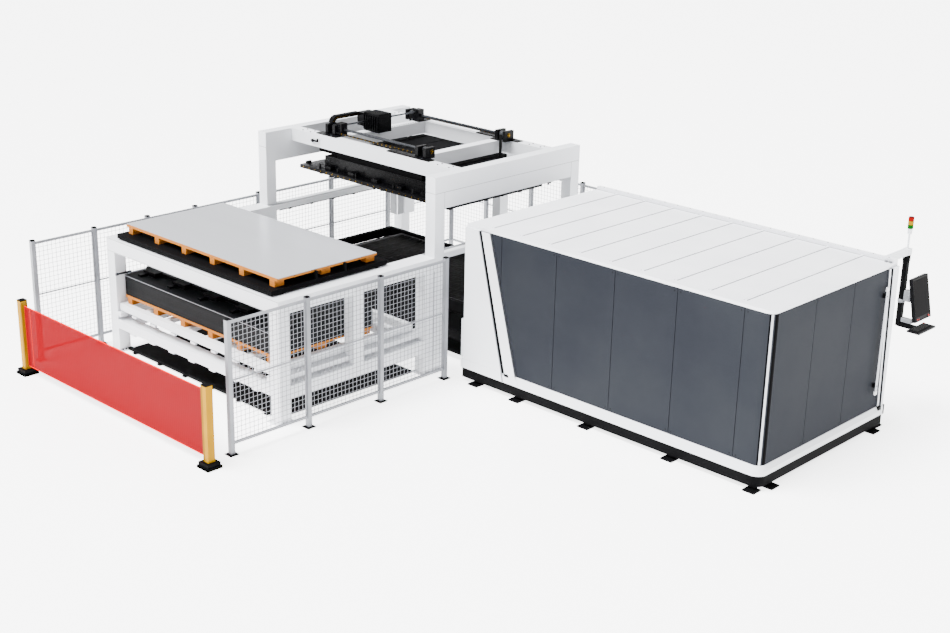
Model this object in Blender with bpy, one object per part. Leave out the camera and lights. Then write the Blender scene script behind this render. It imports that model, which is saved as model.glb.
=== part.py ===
"""Fiber laser cutting cell: an enclosed cutter with an exchange table, a sheet store and a loading portal.

Metres, +Z up. Places are worked out in a cell frame: x is 0 at the cutter's right end and falls towards
the loader, y is 0 at its front panels, z is 0 on the floor. The last step moves the whole cell so that
the origin is under the middle of its bounding box.
"""
import math

import bmesh
import bpy
from mathutils import Matrix, Vector

SEAT = 0.0003
RUNNING_GAP = 0.003
BORE_GAP = 0.0008
OVERRUN = 0.05
HALF = 0.5

# Sheet that the cell is built for
SHEET_LENGTH = 3.05
SHEET_WIDTH = 1.525
SHEET_THICKNESS = 0.006

# Cutter cabinet
CABINET_LENGTH = 4.40
CABINET_DEPTH = 2.53
CABINET_TOP = 2.058
ROOF_THICKNESS = 0.043
PANEL_THICKNESS = 0.030
PANEL_BOTTOM = 0.295
GROOVE_WIDTH = 0.008
GROOVE_DEPTH = 0.010
FRONT_STRIP = 0.352
FRONT_PITCH = 0.867
FRONT_JOINTS = 5
CORNER_RADIUS = 0.100
CORNER_STEPS = 8
END_JOINT_SHARES = (0.3304, 0.6399)
SKIRT_BOTTOM = 0.180
SKIRT_BAND = 0.055
SKIRT_PROUD = 0.030
SKIRT_LIP = 0.006
COVER_PROUD = 0.028
WEDGE_TOP = 0.234
WEDGE_BOTTOM = 0.660
FRONT_TRIM_TOP = 0.264
FRONT_TRIM_BOTTOM = 0.704
FRONT_TRIM_WIDE_TOP = 0.141
FRONT_TRIM_WIDE_BOTTOM = 0.176
END_TRIM_TOP_INSET = 0.195
END_TRIM_BOTTOM_INSET = 0.105
END_TRIM_WIDTH = 0.062

# Base frame and feet under the cabinet
PLINTH_BOTTOM = 0.050
PLINTH_PROUD = 0.018
PLINTH_WIDTH = 0.120
PLINTH_TIES = (0.916, 1.772, 2.628, 3.484)
FOOT_THICKNESS = 0.018
FOOT_LENGTH = 0.150
FOOT_REACH = 0.080
FOOT_STEM = 0.060
FRONT_FEET = (0.070, 1.168, 2.390, 3.492, 4.185)
END_FEET_SHARES = (0.0917, 0.9348)

# Tubes that carry the panels and the roof
STUD = 0.060
ROOF_SEAM_RIGHT_INSET = 0.420
ROOF_SEAM_LEFT_INSET = 0.340
ROOF_SEAMS = 9
ROOF_SEAM_WIDTH = 0.030
ROOF_SEAM_RISE = 0.006
ROOF_RAIL_HEIGHT = 0.035
ROOF_RAIL_WIDTH = 0.060
ROOF_EDGE = 0.110

# Exchange table, its two pallets and the port that they pass
TABLE_OFFSET = 0.005
TABLE_LEFT = 8.060
TABLE_RIGHT = 4.490
SIDE_ROOM = 0.385
TABLE_TOP = 0.820
TABLE_CHANNEL = 0.060
TABLE_LEG = 0.080
TABLE_LEGS = (4.60, 6.15, 7.93)
TABLE_TIE_HEIGHT = 0.060
TABLE_TRAY = 0.020
LEDGE_REACH = 0.060
LEDGE_THICKNESS = 0.030
PALLET_LENGTH = 3.200
PALLET_CLEARANCE = 0.080
PALLET_DEPTH = 0.120
PALLET_SIDE = 0.050
LOWER_PALLET_BOTTOM = 0.420
UPPER_PALLET_BOTTOM = 0.690
SLAT_THICKNESS = 0.005
SLAT_COUNT = 14
SLAT_TEETH = 10
TOOTH_DEPTH = 0.018
SLAT_DROP = 0.080
PORT_MARGIN = 0.040
PORT_BOTTOM = 0.360
PORT_TOP = 0.960
END_WALL = 0.040
SHUTTER_THICKNESS = 0.020
SHUTTER_LAP = 0.030
SHUTTER_REST = 0.020
SHUTTER_GUIDE = 0.030
DOCK_DEPTH = 0.080
DOCK_WIDTH = 0.280
DOCK_TOP = 0.800

# Machine bed and the axes inside the cabinet
BED_LEFT = 4.200
BED_RIGHT = 0.420
BED_WALL = 0.160
BED_TOP = 1.000
BED_TIE = 0.140
BED_TIE_HEIGHT = 0.180
BED_TIES = (0.60, 1.75, 2.90, 4.00)
RAIL_WIDTH = 0.040
RAIL_HEIGHT = 0.030
BRIDGE_REST = 0.900
TRUCK_LENGTH = 0.420
TRUCK_HEIGHT = 0.100
BRIDGE_WIDTH = 0.200
BRIDGE_HEIGHT = 0.280
BRIDGE_CUT = 0.140
CARRIAGE_WIDTH = 0.240
CARRIAGE_DEPTH = 0.110
CARRIAGE_HEIGHT = 0.360
HEAD_SIZE = 0.100
HEAD_HEIGHT = 0.300
NOZZLE_TIP = 0.960
NOZZLE_HEIGHT = 0.070
NOZZLE_TOP_RADIUS = 0.030
NOZZLE_TIP_RADIUS = 0.008
SOURCE_SIZE = (0.300, 0.620, 0.800)
SOURCE_PLACE = (0.080, 0.240)
SOURCE_FIN = 0.012
SOURCE_FINS = 6

# Service door on the end face
HANDLE_RADIUS = 0.012
HANDLE_WIDTH = 0.050
HANDLE_DEPTH = 0.022
HANDLE_BOTTOM = 0.500
HANDLE_TOP = 1.820
HANDLE_STANDOFF = 0.045
HANDLE_INSET = 0.055

# Operator console on its swivelling post, and the signal tower
ARM_FROM_END = 0.190
ARM_SECTION = 0.070
ARM_REACH = 0.610
POST_SIDE = 0.060
POST_BOTTOM = 1.100
POST_HUB = 0.045
POST_HUB_HEIGHT = 0.080
MONITOR_WIDTH = 0.370
MONITOR_HEIGHT = 0.520
MONITOR_DEPTH = 0.045
MONITOR_LEAN = 12.0
MONITOR_REACH = 0.190
MONITOR_MID_Z = 1.490
BRACKET_WIDTH = 0.070
TILT_RADIUS = 0.020
TILT_WIDTH = 0.040
BRACKET_HEIGHT = 0.100
TRAY_WIDTH = 0.400
TRAY_DEPTH = 0.160
TRAY_THICKNESS = 0.022
TRAY_REACH = 0.215
TRAY_HINGE_Z = 1.140
BUTTON_RADIUS = 0.011
BUTTON_LENGTH = 0.016
BUTTON_TRAVEL = 0.004
BUTTON_FROM_EDGE = 0.028
BUTTON_FROM_SIDE = 0.060
SIGNAL_RADIUS = 0.027
SIGNAL_POLE_RADIUS = 0.012
SIGNAL_POLE = 0.240
SIGNAL_HOLDER = 0.060
LAMP_HEIGHT = 0.047
LAMP_STEP = 0.004

# Store and portal share one width
LOADER_RIGHT = 4.855
LOADER_WIDTH = 3.470
POST_SIZE = 0.165
BASE_PLATE = 0.240
BASE_PLATE_THICKNESS = 0.014
TROLLEY_RAIL_TOP = 1.521
TROLLEY_RAIL_HEIGHT = 0.075
TROLLEY_RAIL_WIDTH = 0.070

# Store
STORE_DEPTH = 2.485
STORE_TOP_RAIL = 0.170
STORE_MID_POST = 1.135
SIDE_RAIL_BOTTOM = 0.290
SIDE_RAIL_TOP = 0.455
FRONT_RAIL_BOTTOM = 0.325
FRONT_RAIL_TOP = 0.445
LOWER_GUIDE_TOP = 0.556
LOWER_GUIDE_HEIGHT = 0.060

# Trolleys, wood pallets, sheets
TROLLEY_GAP = 0.012
UPPER_TROLLEY_HEIGHT = 0.075
TROLLEY_BEAM = 0.080
TROLLEY_TIES = 6
TROLLEY_DECK = 0.020
WHEEL_RADIUS = 0.032
WHEEL_WIDTH = 0.040
WHEEL_SIDES = 16
STAKE = 0.030
STAKE_HEIGHT = 0.100
STAKES = (0.550, 1.000)
LOWER_TROLLEY_HEIGHT = 0.110
DRAWER_INSET = 0.030
DRAWER_BACK = 0.200
WOOD_DECK = 0.030
WOOD_BLOCK_HEIGHT = 0.080
WOOD_BLOCK_WIDTH = 0.090
WOOD_BLOCK_LENGTH = 0.140
WOOD_BLOCKS = 6
WOOD_BOARD_GAP = 0.020
WOOD_BOARDS = 6
WOOD_EDGE = 0.010
UPPER_LOAD_FRONT = 0.130
STACK_HEIGHT = 0.270

# Portal
PORTAL_OVERHANG = 0.200
PORTAL_FRONT = 0.105
PORTAL_TOP = 2.548
UPPER_BEAM = 0.206
LOWER_BEAM = 0.210
REAR_POST_OFFSET = 1.190
REAR_POST_WIDTH = 0.150
CONTROL_BOX = (0.100, 0.140, 0.360)
CONTROL_BOX_BOTTOM = 0.930

# Hoist on the portal
CROSS_BEAM_FRONT = 0.350
CROSS_BEAM_REAR_INSET = 0.380
CROSS_BEAM_WIDTH = 0.165
CROSS_BEAM_HEIGHT = 0.170
INNER_BEAM_LEFT = 7.360
INNER_BEAM_RIGHT = 5.830
INNER_BEAM_WIDTH = 0.140
STATION_LENGTH = 0.400
STATION_DEPTH = 0.230
STATION_PLATE = 0.014
STATION_TAIL = 0.380
CHEEK = 0.050
CHEEK_DEPTH = 0.120
CHEEK_TOP = 0.055
SHAFT_HEIGHT = 0.090
SHAFT_RADIUS = 0.018
DRUM_RADIUS = 0.045
DRUM_WIDTH = 0.070
DRUM_FLANGE = 0.012
SHAFT_SIDES = 16
BELT_WIDTH = 0.050
BELT_THICKNESS = 0.004
TIE_ROD_RADIUS = 0.011
TIE_ROD_OFFSET = 0.085
TIE_ROD_DROP = 0.045
CROSS_SHAFT_RADIUS = 0.012
CROSS_SHAFT_RISE = 0.048
GEARBOX = 0.110
MOTOR_LENGTH = 0.300
MOTOR_DEPTH = 0.260
MOTOR_HEIGHT = 0.250
MOTOR_FRONT = 1.020
MOTOR_FIN = 0.014
MOTOR_FINS = 7
MOTOR_FIN_DEPTH = 0.022
MOTOR_BOX_LENGTH = 0.140
CHAIN_WIDTH = 0.080
CHAIN_RADIUS = 0.070
CHAIN_THICKNESS = 0.050
CHAIN_LINKS = 12
CHAIN_NOTCH = 0.008
CHAIN_LINK_SHARES = ((0.0, 1.0), (0.12, 0.0), (0.88, 0.0))

# Suction frame under the hoist
SUCTION_LENGTH = 2.940
SUCTION_INSET = 0.115
SUCTION_BOTTOM = 2.000
SUCTION_FLANGE = 0.050
SUCTION_RING = 0.110
SUCTION_DECK = 0.012
SUCTION_BEAM_INSET = 0.380
CUP_INSET = 0.220
SUCTION_BEAM_WIDTH = 0.150
SUCTION_BEAM_HEIGHT = 0.170
SUCTION_TIES = 5
CUP_RADIUS = 0.045
CUP_HEIGHT = 0.080
CUP_LIP = 0.030
CUP_STEM_RADIUS = 0.014
CUP_ROWS = 3
CUP_SIDES = 8

# Fences
FENCE_HEIGHT = 1.606
FENCE_POST = 0.055
FENCE_FOOT = 0.120
FENCE_FOOT_THICKNESS = 0.010
FENCE_RAIL = 0.030
FENCE_GROUND = 0.120
FENCE_WIRE = 0.010
FENCE_MESH_THICKNESS = 0.010
MESH_CELL = 0.400
RIGHT_FENCE_X = 4.610
RIGHT_FENCE_POSTS = (3.483, 2.369, 1.237, 0.150)
LEFT_FENCE_X = 8.580
LEFT_FENCE_POSTS = (3.495, 2.605, 1.790, 1.020, -0.070, -1.420, -2.560, -3.960)
BACK_FENCE_POSTS = (7.813, 6.880, 5.873, 4.700)

# Light-curtain posts
GUARD_POST = 0.090
GUARD_HEIGHT = 0.978
GUARD_Y = 3.860
GUARD_LEFT = 8.290
GUARD_RIGHT = 4.510
GUARD_BASE = 0.150
GUARD_BASE_THICKNESS = 0.016
GUARD_FOOT = 0.200
GUARD_FOOT_THICKNESS = 0.030
FIELD_BOTTOM = 0.112
FIELD_TOP = 0.912
FIELD_THICKNESS = 0.006

FINISHES = {
    "white_paint": ((0.90, 0.90, 0.92), 0.35, 0.0),
    "graphite_panel": ((0.11, 0.125, 0.14), 0.35, 0.2),
    "polished_dark": ((0.02, 0.022, 0.026), 0.10, 0.6),
    "silver_trim": ((0.78, 0.79, 0.82), 0.25, 0.7),
    "black_paint": ((0.012, 0.012, 0.014), 0.45, 0.0),
    "dark_steel": ((0.06, 0.062, 0.068), 0.40, 0.8),
    "ground_steel": ((0.55, 0.56, 0.58), 0.25, 1.0),
    "sheet_steel": ((0.68, 0.69, 0.72), 0.28, 1.0),
    "stack_steel": ((0.07, 0.072, 0.08), 0.40, 0.7),
    "wood": ((0.80, 0.33, 0.06), 0.70, 0.0),
    "grey_paint": ((0.55, 0.56, 0.58), 0.45, 0.0),
    "safety_yellow": ((0.95, 0.60, 0.01), 0.40, 0.0),
    "signal_red": ((0.80, 0.03, 0.02), 0.30, 0.0),
    "signal_lens": ((0.75, 0.35, 0.05), 0.25, 0.0),
    "field_red": ((0.75, 0.05, 0.06), 0.50, 0.0),
    "black_rubber": ((0.015, 0.015, 0.015), 0.80, 0.0),
}

CELL = bpy.data.collections.new("fiber_laser_cutting_cell")
TOOLS = bpy.data.collections.new("cutters_and_operands")


class Box:
    """A block between two corners, each axis given as a (low, high) pair."""

    def __init__(self, x, y, z):
        self.spans = [sorted(pair) for pair in (x, y, z)]

    def add(self, bm):
        centre = Vector([(low + high) * HALF for low, high in self.spans])
        size = [high - low for low, high in self.spans]
        place = Matrix.Translation(centre) @ Matrix.Diagonal(size).to_4x4()
        bmesh.ops.create_cube(bm, size=1, matrix=place)


class Prism:
    """An outline drawn across one axis and extruded along it."""

    def __init__(self, axis, outline, reach):
        self.axis = axis
        self.outline = outline
        self.reach = sorted(reach)

    def point(self, a, b, along):
        return {"X": (along, a, b), "Y": (a, along, b), "Z": (a, b, along)}[self.axis]

    def add(self, bm):
        low, high = self.reach
        ring = [bm.verts.new(self.point(a, b, low)) for a, b in self.outline]
        face = bm.faces.new(ring)
        grown = bmesh.ops.extrude_face_region(bm, geom=[face])
        moved = [v for v in grown["geom"] if isinstance(v, bmesh.types.BMVert)]
        bmesh.ops.translate(bm, verts=moved, vec=self.point(0, 0, high - low))
        shell = list({f for v in ring + moved for f in v.link_faces})
        bmesh.ops.recalc_face_normals(bm, faces=shell)


class Rod:
    """A cylinder or cone along one axis, through (a, b) in the other two."""

    def __init__(self, axis, a, b, reach, radius, end_radius=None, sides=SHAFT_SIDES):
        self.axis = axis
        self.a = a
        self.b = b
        self.reach = sorted(reach)
        self.radius = radius
        self.end_radius = radius if end_radius is None else end_radius
        self.sides = sides

    def add(self, bm):
        low, high = self.reach
        middle = (low + high) * HALF
        turn = {
            "X": Matrix.Rotation(math.pi * HALF, 4, "Y"),
            "Y": Matrix.Rotation(-math.pi * HALF, 4, "X"),
            "Z": Matrix.Identity(4),
        }[self.axis]
        spot = {
            "X": (middle, self.a, self.b),
            "Y": (self.a, middle, self.b),
            "Z": (self.a, self.b, middle),
        }[self.axis]
        bmesh.ops.create_cone(
            bm,
            cap_ends=True,
            segments=self.sides,
            radius1=self.radius,
            radius2=self.end_radius,
            depth=high - low,
            matrix=Matrix.Translation(spot) @ turn,
        )


def clear_scene():
    for item in list(bpy.data.objects):
        bpy.data.objects.remove(item, do_unlink=True)
    for home in (CELL, TOOLS):
        bpy.context.scene.collection.children.link(home)


def finish_material(finish):
    found = bpy.data.materials.get(finish)
    if found:
        return found
    colour, roughness, metallic = FINISHES[finish]
    made = bpy.data.materials.new(finish)
    made.use_nodes = True
    shader = made.node_tree.nodes["Principled BSDF"]
    shader.inputs["Base Color"].default_value = (*colour, 1)
    shader.inputs["Roughness"].default_value = roughness
    shader.inputs["Metallic"].default_value = metallic
    return made


def mesh_object(name, solids, home, place=None):
    bm = bmesh.new()
    for solid in solids:
        solid.add(bm)
    if place is not None:
        bm.transform(place)
    mesh = bpy.data.meshes.new(name)
    bm.to_mesh(mesh)
    bm.free()
    thing = bpy.data.objects.new(name, mesh)
    home.objects.link(thing)
    return thing


def boolean(target, solids, operation, label, place):
    """Unites or subtracts a group of solids, which may overlap one another."""
    operand = mesh_object(f"{target.name}_{label}", solids, TOOLS, place)
    operand.hide_render = True
    operand.display_type = "WIRE"
    step = target.modifiers.new(label, "BOOLEAN")
    step.object = operand
    step.operation = operation
    step.solver = "EXACT"
    step.use_self = True


def make(name, finish, solids, cuts=(), pivot=None, place=None):
    """One piece: solids welded into one, with cuts taken out and its origin on its joint's axis."""
    thing = mesh_object(name, solids[:1], CELL, place)
    material = bpy.data.materials.new(name)
    source = finish_material(finish)
    material.use_nodes = True
    shader = material.node_tree.nodes["Principled BSDF"]
    for label in ("Base Color", "Roughness", "Metallic"):
        value = source.node_tree.nodes["Principled BSDF"].inputs[label].default_value
        shader.inputs[label].default_value = value
    thing.data.materials.append(material)
    if solids[1:]:
        boolean(thing, solids[1:], "UNION", "members", place)
    if cuts:
        boolean(thing, list(cuts), "DIFFERENCE", "openings", place)
    if pivot is not None:
        thing.data.transform(Matrix.Translation(-Vector(pivot)))
        thing.location = pivot
    return thing


def span(start, size):
    return (start, start + size)


def about(middle, size):
    return (middle - size * HALF, middle + size * HALF)


def spread(low, high, count):
    """Evenly spaced places, the first and last at the ends."""
    return [low + (high - low) * step / (count - 1) for step in range(count)]


# Places that several pieces share
PANEL_TOP = CABINET_TOP - ROOF_THICKNESS
END_FIRST = CABINET_DEPTH * END_JOINT_SHARES[0]
END_SECOND = CABINET_DEPTH * END_JOINT_SHARES[1]
END_TRIM_TOP = CABINET_DEPTH - END_TRIM_TOP_INSET
END_TRIM_BOTTOM = CABINET_DEPTH - END_TRIM_BOTTOM_INSET
TABLE_MID_Y = CABINET_DEPTH * HALF - TABLE_OFFSET
TABLE_WIDTH = CABINET_DEPTH - SIDE_ROOM * 2
PALLET_WIDTH = TABLE_WIDTH - PALLET_CLEARANCE * 2
PANEL_Z = (PANEL_BOTTOM + SEAT, PANEL_TOP - SEAT)
CABINET_LEFT = -CABINET_LENGTH
WALL_INNER_LEFT = CABINET_LEFT + END_WALL
WALL_INNER_REAR = CABINET_DEPTH - PANEL_THICKNESS
LOADER_LEFT = LOADER_RIGHT + LOADER_WIDTH
LOADER_X = (-LOADER_LEFT, -LOADER_RIGHT)
LOADER_INNER = (-LOADER_LEFT + POST_SIZE, -LOADER_RIGHT - POST_SIZE)
LOADER_MID = -(LOADER_LEFT + LOADER_RIGHT) * HALF
PORTAL_Y = (-PORTAL_FRONT, CABINET_DEPTH + PORTAL_OVERHANG - PORTAL_FRONT)
CROSS_BEAM_REAR = PORTAL_Y[1] - CROSS_BEAM_REAR_INSET - CROSS_BEAM_WIDTH
STORE_BACK = -PORTAL_FRONT - SEAT
STORE_Y = (STORE_BACK - STORE_DEPTH, STORE_BACK)
UPPER_PALLET_Z = span(UPPER_PALLET_BOTTOM, PALLET_DEPTH)
LOWER_PALLET_Z = span(LOWER_PALLET_BOTTOM, PALLET_DEPTH)
TROLLEY_X = (LOADER_INNER[0] + TROLLEY_GAP, LOADER_INNER[1] - TROLLEY_GAP)
SHAFT_Z = PORTAL_TOP + SEAT + SHAFT_HEIGHT
CROSS_SHAFT_Z = SHAFT_Z + CROSS_SHAFT_RISE
SUCTION_TOP = SUCTION_BOTTOM + SUCTION_FLANGE + SUCTION_BEAM_HEIGHT
CUP_BOTTOM = SUCTION_BOTTOM - CUP_HEIGHT


def rounded_rectangle(x, y, radius):
    """Four corners; the right front one is an arc, the others are plain."""
    points = [(x[0], y[0])]
    centre = (x[1] - radius, y[0] + radius)
    for step in range(CORNER_STEPS + 1):
        angle = -math.pi * HALF + math.pi * HALF * step / CORNER_STEPS
        points.append((centre[0] + radius * math.cos(angle), centre[1] + radius * math.sin(angle)))
    points += [(x[1], y[1]), (x[0], y[1])]
    return points


def ring_loft(name, finish, sections):
    """A closed ring: sections of equal point counts joined in order, the last to the first."""
    bm = bmesh.new()
    loops = [[bm.verts.new((x, y, z)) for x, y in outline] for outline, z in sections]
    for one, other in zip(loops, loops[1:] + loops[:1]):
        for place in range(len(one)):
            after = (place + 1) % len(one)
            bm.faces.new((one[place], one[after], other[after], other[place]))
    bmesh.ops.recalc_face_normals(bm, faces=bm.faces[:])
    thing = make(name, finish, [])
    bm.to_mesh(thing.data)
    bm.free()
    return thing


def base_frame():
    """Black plinth with the same corner as the rim, bays cut through it, and foot plates."""
    z = (PLINTH_BOTTOM, SKIRT_BOTTOM - SEAT)
    x = (CABINET_LEFT, 0)
    y = (0, CABINET_DEPTH)
    outline = rounded_rectangle(
        (x[0] - PLINTH_PROUD, x[1] + PLINTH_PROUD),
        (y[0] - PLINTH_PROUD, y[1] + PLINTH_PROUD),
        CORNER_RADIUS + PLINTH_PROUD,
    )
    solids = [Prism("Z", outline, z)]
    edges = [x[1] - PLINTH_WIDTH]
    for place in PLINTH_TIES:
        edges += about(-place, PLINTH_WIDTH)[::-1]
    edges.append(x[0] + PLINTH_WIDTH)
    bay_y = (y[0] + PLINTH_WIDTH, y[1] - PLINTH_WIDTH)
    bays = [Box(pair, bay_y, (0, SKIRT_BOTTOM + OVERRUN)) for pair in zip(edges[::2], edges[1::2])]
    stem = (FOOT_THICKNESS * HALF, PLINTH_BOTTOM + FOOT_THICKNESS)
    plate = (0, FOOT_THICKNESS)
    for place in FRONT_FEET:
        for edge, out in ((y[0], -FOOT_REACH), (y[1], FOOT_REACH)):
            inner = edge + math.copysign(FOOT_STEM, -out)
            solids.append(Box(about(-place, FOOT_LENGTH), (inner, edge + out), plate))
            solids.append(Box(about(-place, FOOT_STEM), (inner, edge), stem))
    for place in (y[1] * share for share in END_FEET_SHARES):
        for edge, out in ((x[0], -FOOT_REACH), (x[1], FOOT_REACH)):
            inner = edge + math.copysign(FOOT_STEM, -out)
            solids.append(Box((inner, edge + out), about(place, FOOT_LENGTH), plate))
            solids.append(Box((inner, edge), about(place, FOOT_STEM), stem))
    make("base_frame", "black_paint", solids, bays)


def skirt_rim():
    """The white rim round the foot of the cabinet: a vertical band with a slope up to the panels."""
    outer = rounded_rectangle(
        (CABINET_LEFT - SKIRT_PROUD, SKIRT_PROUD),
        (-SKIRT_PROUD, CABINET_DEPTH + SKIRT_PROUD),
        CORNER_RADIUS + SKIRT_PROUD,
    )
    top = rounded_rectangle(
        (CABINET_LEFT - SKIRT_LIP, SKIRT_LIP),
        (-SKIRT_LIP, CABINET_DEPTH + SKIRT_LIP),
        CORNER_RADIUS + SKIRT_LIP,
    )
    inner = rounded_rectangle(
        (CABINET_LEFT + PANEL_THICKNESS, -PANEL_THICKNESS),
        (PANEL_THICKNESS, CABINET_DEPTH - PANEL_THICKNESS),
        CORNER_RADIUS - PANEL_THICKNESS,
    )
    sections = [
        (outer, SKIRT_BOTTOM),
        (outer, SKIRT_BOTTOM + SKIRT_BAND),
        (top, PANEL_BOTTOM),
        (inner, PANEL_BOTTOM),
        (inner, SKIRT_BOTTOM),
    ]
    ring_loft("skirt_rim", "white_paint", sections)


def slanted(top_place, bottom_place, width_top, width_bottom, z):
    """A strip between two heights that leans, given by its left edge and its width at each end."""
    return [
        (bottom_place, z[0]),
        (bottom_place + width_bottom, z[0]),
        (top_place + width_top, z[1]),
        (top_place, z[1]),
    ]


def front_panels():
    """Graphite panels with folded joints, from the leaning white cover to the rounded corner."""
    right = -CORNER_RADIUS - SEAT
    outline = [
        (CABINET_LEFT + WEDGE_BOTTOM + SEAT, PANEL_Z[0]),
        (right, PANEL_Z[0]),
        (right, PANEL_Z[1]),
        (CABINET_LEFT + WEDGE_TOP + SEAT, PANEL_Z[1]),
    ]
    panel = Prism("Y", outline, (0, PANEL_THICKNESS))
    tall = (PANEL_Z[0] - OVERRUN, PANEL_Z[1] + OVERRUN)
    deep = (-OVERRUN, GROOVE_DEPTH)
    cuts = []
    for joint in range(FRONT_JOINTS):
        place = -(FRONT_STRIP + joint * FRONT_PITCH)
        cuts.append(Box(about(place, GROOVE_WIDTH), deep, tall))
    make("front_panels", "graphite_panel", [panel], cuts)


def front_inclined_trim():
    outline = slanted(
        CABINET_LEFT + FRONT_TRIM_TOP,
        CABINET_LEFT + FRONT_TRIM_BOTTOM,
        FRONT_TRIM_WIDE_TOP,
        FRONT_TRIM_WIDE_BOTTOM,
        PANEL_Z,
    )
    make("front_inclined_trim", "silver_trim", [Prism("Y", outline, (-COVER_PROUD, -SEAT))])


def corner_post():
    centre = (-CORNER_RADIUS, CORNER_RADIUS)
    outline = [centre]
    for step in range(CORNER_STEPS + 1):
        angle = -math.pi * HALF * step / CORNER_STEPS
        outline.append(
            (centre[0] + CORNER_RADIUS * math.cos(angle), centre[1] + CORNER_RADIUS * math.sin(angle))
        )
    make("corner_post", "polished_dark", [Prism("Z", outline, PANEL_Z)])


def end_panels():
    """The two fixed graphite panels of the end face."""
    x = (-PANEL_THICKNESS, 0)
    y = (CORNER_RADIUS + SEAT, END_SECOND - SEAT)
    deep = (-GROOVE_DEPTH, OVERRUN)
    fold = Box(deep, about(END_FIRST, GROOVE_WIDTH), (0, CABINET_TOP))
    rebate = Box(deep, (END_SECOND - GROOVE_WIDTH, END_SECOND + OVERRUN), (0, CABINET_TOP))
    make("end_panels", "graphite_panel", [Box(x, y, PANEL_Z)], [fold, rebate])


def end_door():
    """The third end panel is the service door; it hangs on its left edge."""
    hinge_y = END_SECOND + SEAT
    outline = [
        (hinge_y, PANEL_Z[0] + RUNNING_GAP),
        (END_TRIM_BOTTOM - RUNNING_GAP, PANEL_Z[0] + RUNNING_GAP),
        (END_TRIM_TOP - RUNNING_GAP, PANEL_Z[1] - RUNNING_GAP),
        (hinge_y, PANEL_Z[1] - RUNNING_GAP),
    ]
    pivot = (0, hinge_y, PANEL_Z[0])
    make("end_door", "graphite_panel", [Prism("X", outline, (-PANEL_THICKNESS, 0))], pivot=pivot)
    y = END_TRIM_TOP - HANDLE_INSET
    grip_z = (HANDLE_BOTTOM, HANDLE_TOP)
    grip = Box(about(HANDLE_STANDOFF, HANDLE_DEPTH), about(y, HANDLE_WIDTH), grip_z)
    length = HANDLE_TOP - HANDLE_BOTTOM
    feet = []
    ends = (HANDLE_BOTTOM + HANDLE_STANDOFF, HANDLE_TOP - HANDLE_STANDOFF)
    for place in (ends[0], HANDLE_BOTTOM + length * HALF, ends[1]):
        feet.append(Rod("X", y, place, (SEAT, HANDLE_STANDOFF), HANDLE_RADIUS))
    make("door_handle", "ground_steel", [grip] + feet, pivot=pivot)


def end_trim_and_cover():
    outline = slanted(END_TRIM_TOP, END_TRIM_BOTTOM, END_TRIM_WIDTH, END_TRIM_WIDTH, PANEL_Z)
    trim = Prism("X", outline, (-PANEL_THICKNESS, COVER_PROUD * HALF))
    make("end_inclined_trim", "silver_trim", [trim])
    cover = [
        (END_TRIM_BOTTOM + END_TRIM_WIDTH + SEAT, PANEL_Z[0]),
        (CABINET_DEPTH, PANEL_Z[0]),
        (CABINET_DEPTH, PANEL_Z[1]),
        (END_TRIM_TOP + END_TRIM_WIDTH + SEAT, PANEL_Z[1]),
    ]
    make("rear_corner_cover", "white_paint", [Prism("X", cover, (-PANEL_THICKNESS, COVER_PROUD))])


def port_y(margin=0):
    return about(TABLE_MID_Y, PALLET_WIDTH + (PORT_MARGIN + margin) * 2)


def port_end_cover():
    """The end wall with the pallet port, its leaning front cover, docking boxes and shutter guides."""
    wall = Box((CABINET_LEFT, WALL_INNER_LEFT), (PANEL_THICKNESS * HALF, CABINET_DEPTH), PANEL_Z)
    outline = [
        (CABINET_LEFT, PANEL_Z[0]),
        (CABINET_LEFT + WEDGE_BOTTOM, PANEL_Z[0]),
        (CABINET_LEFT + WEDGE_TOP, PANEL_Z[1]),
        (CABINET_LEFT, PANEL_Z[1]),
    ]
    wedge = Prism("Y", outline, (-COVER_PROUD, PANEL_THICKNESS))
    solids = [wall, wedge]
    dock_z = (PANEL_BOTTOM + SEAT, DOCK_TOP)
    for edge, out in ((PANEL_THICKNESS * HALF, DOCK_WIDTH), (CABINET_DEPTH, -DOCK_WIDTH)):
        solids.append(Box((CABINET_LEFT - DOCK_DEPTH, WALL_INNER_LEFT), span(edge, out), dock_z))
    guide_x = span(WALL_INNER_LEFT - SEAT, SHUTTER_THICKNESS * 2)
    travel = PORT_TOP - PORT_BOTTOM
    guide_z = (PORT_BOTTOM, PORT_TOP + travel + SHUTTER_LAP * 2)
    left, right = port_y(SHUTTER_LAP)
    solids.append(Box(guide_x, span(left - SEAT, -SHUTTER_GUIDE), guide_z))
    solids.append(Box(guide_x, span(right + SEAT, SHUTTER_GUIDE), guide_z))
    port = Box((CABINET_LEFT - OVERRUN, WALL_INNER_LEFT + OVERRUN), port_y(), (PORT_BOTTOM, PORT_TOP))
    make("port_end_cover", "white_paint", solids, [port])


def port_shutter():
    """Drawn open; it slides down between its guides to shut the port."""
    x = span(WALL_INNER_LEFT + SEAT, SHUTTER_THICKNESS)
    z = span(PORT_TOP + SHUTTER_REST, PORT_TOP - PORT_BOTTOM + SHUTTER_LAP)
    make("port_shutter", "grey_paint", [Box(x, port_y(SHUTTER_LAP), z)], pivot=(x[0], TABLE_MID_Y, z[0]))


def rear_wall():
    x = (WALL_INNER_LEFT + SEAT, -PANEL_THICKNESS - SEAT)
    y = (WALL_INNER_REAR, CABINET_DEPTH)
    cuts = []
    for joint in range(FRONT_JOINTS):
        place = -(FRONT_STRIP + joint * FRONT_PITCH)
        cuts.append(Box(about(place, GROOVE_WIDTH), (y[1] - GROOVE_DEPTH, y[1] + OVERRUN), (0, CABINET_TOP)))
    make("rear_wall", "white_paint", [Box(x, y, PANEL_Z)], cuts)


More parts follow.
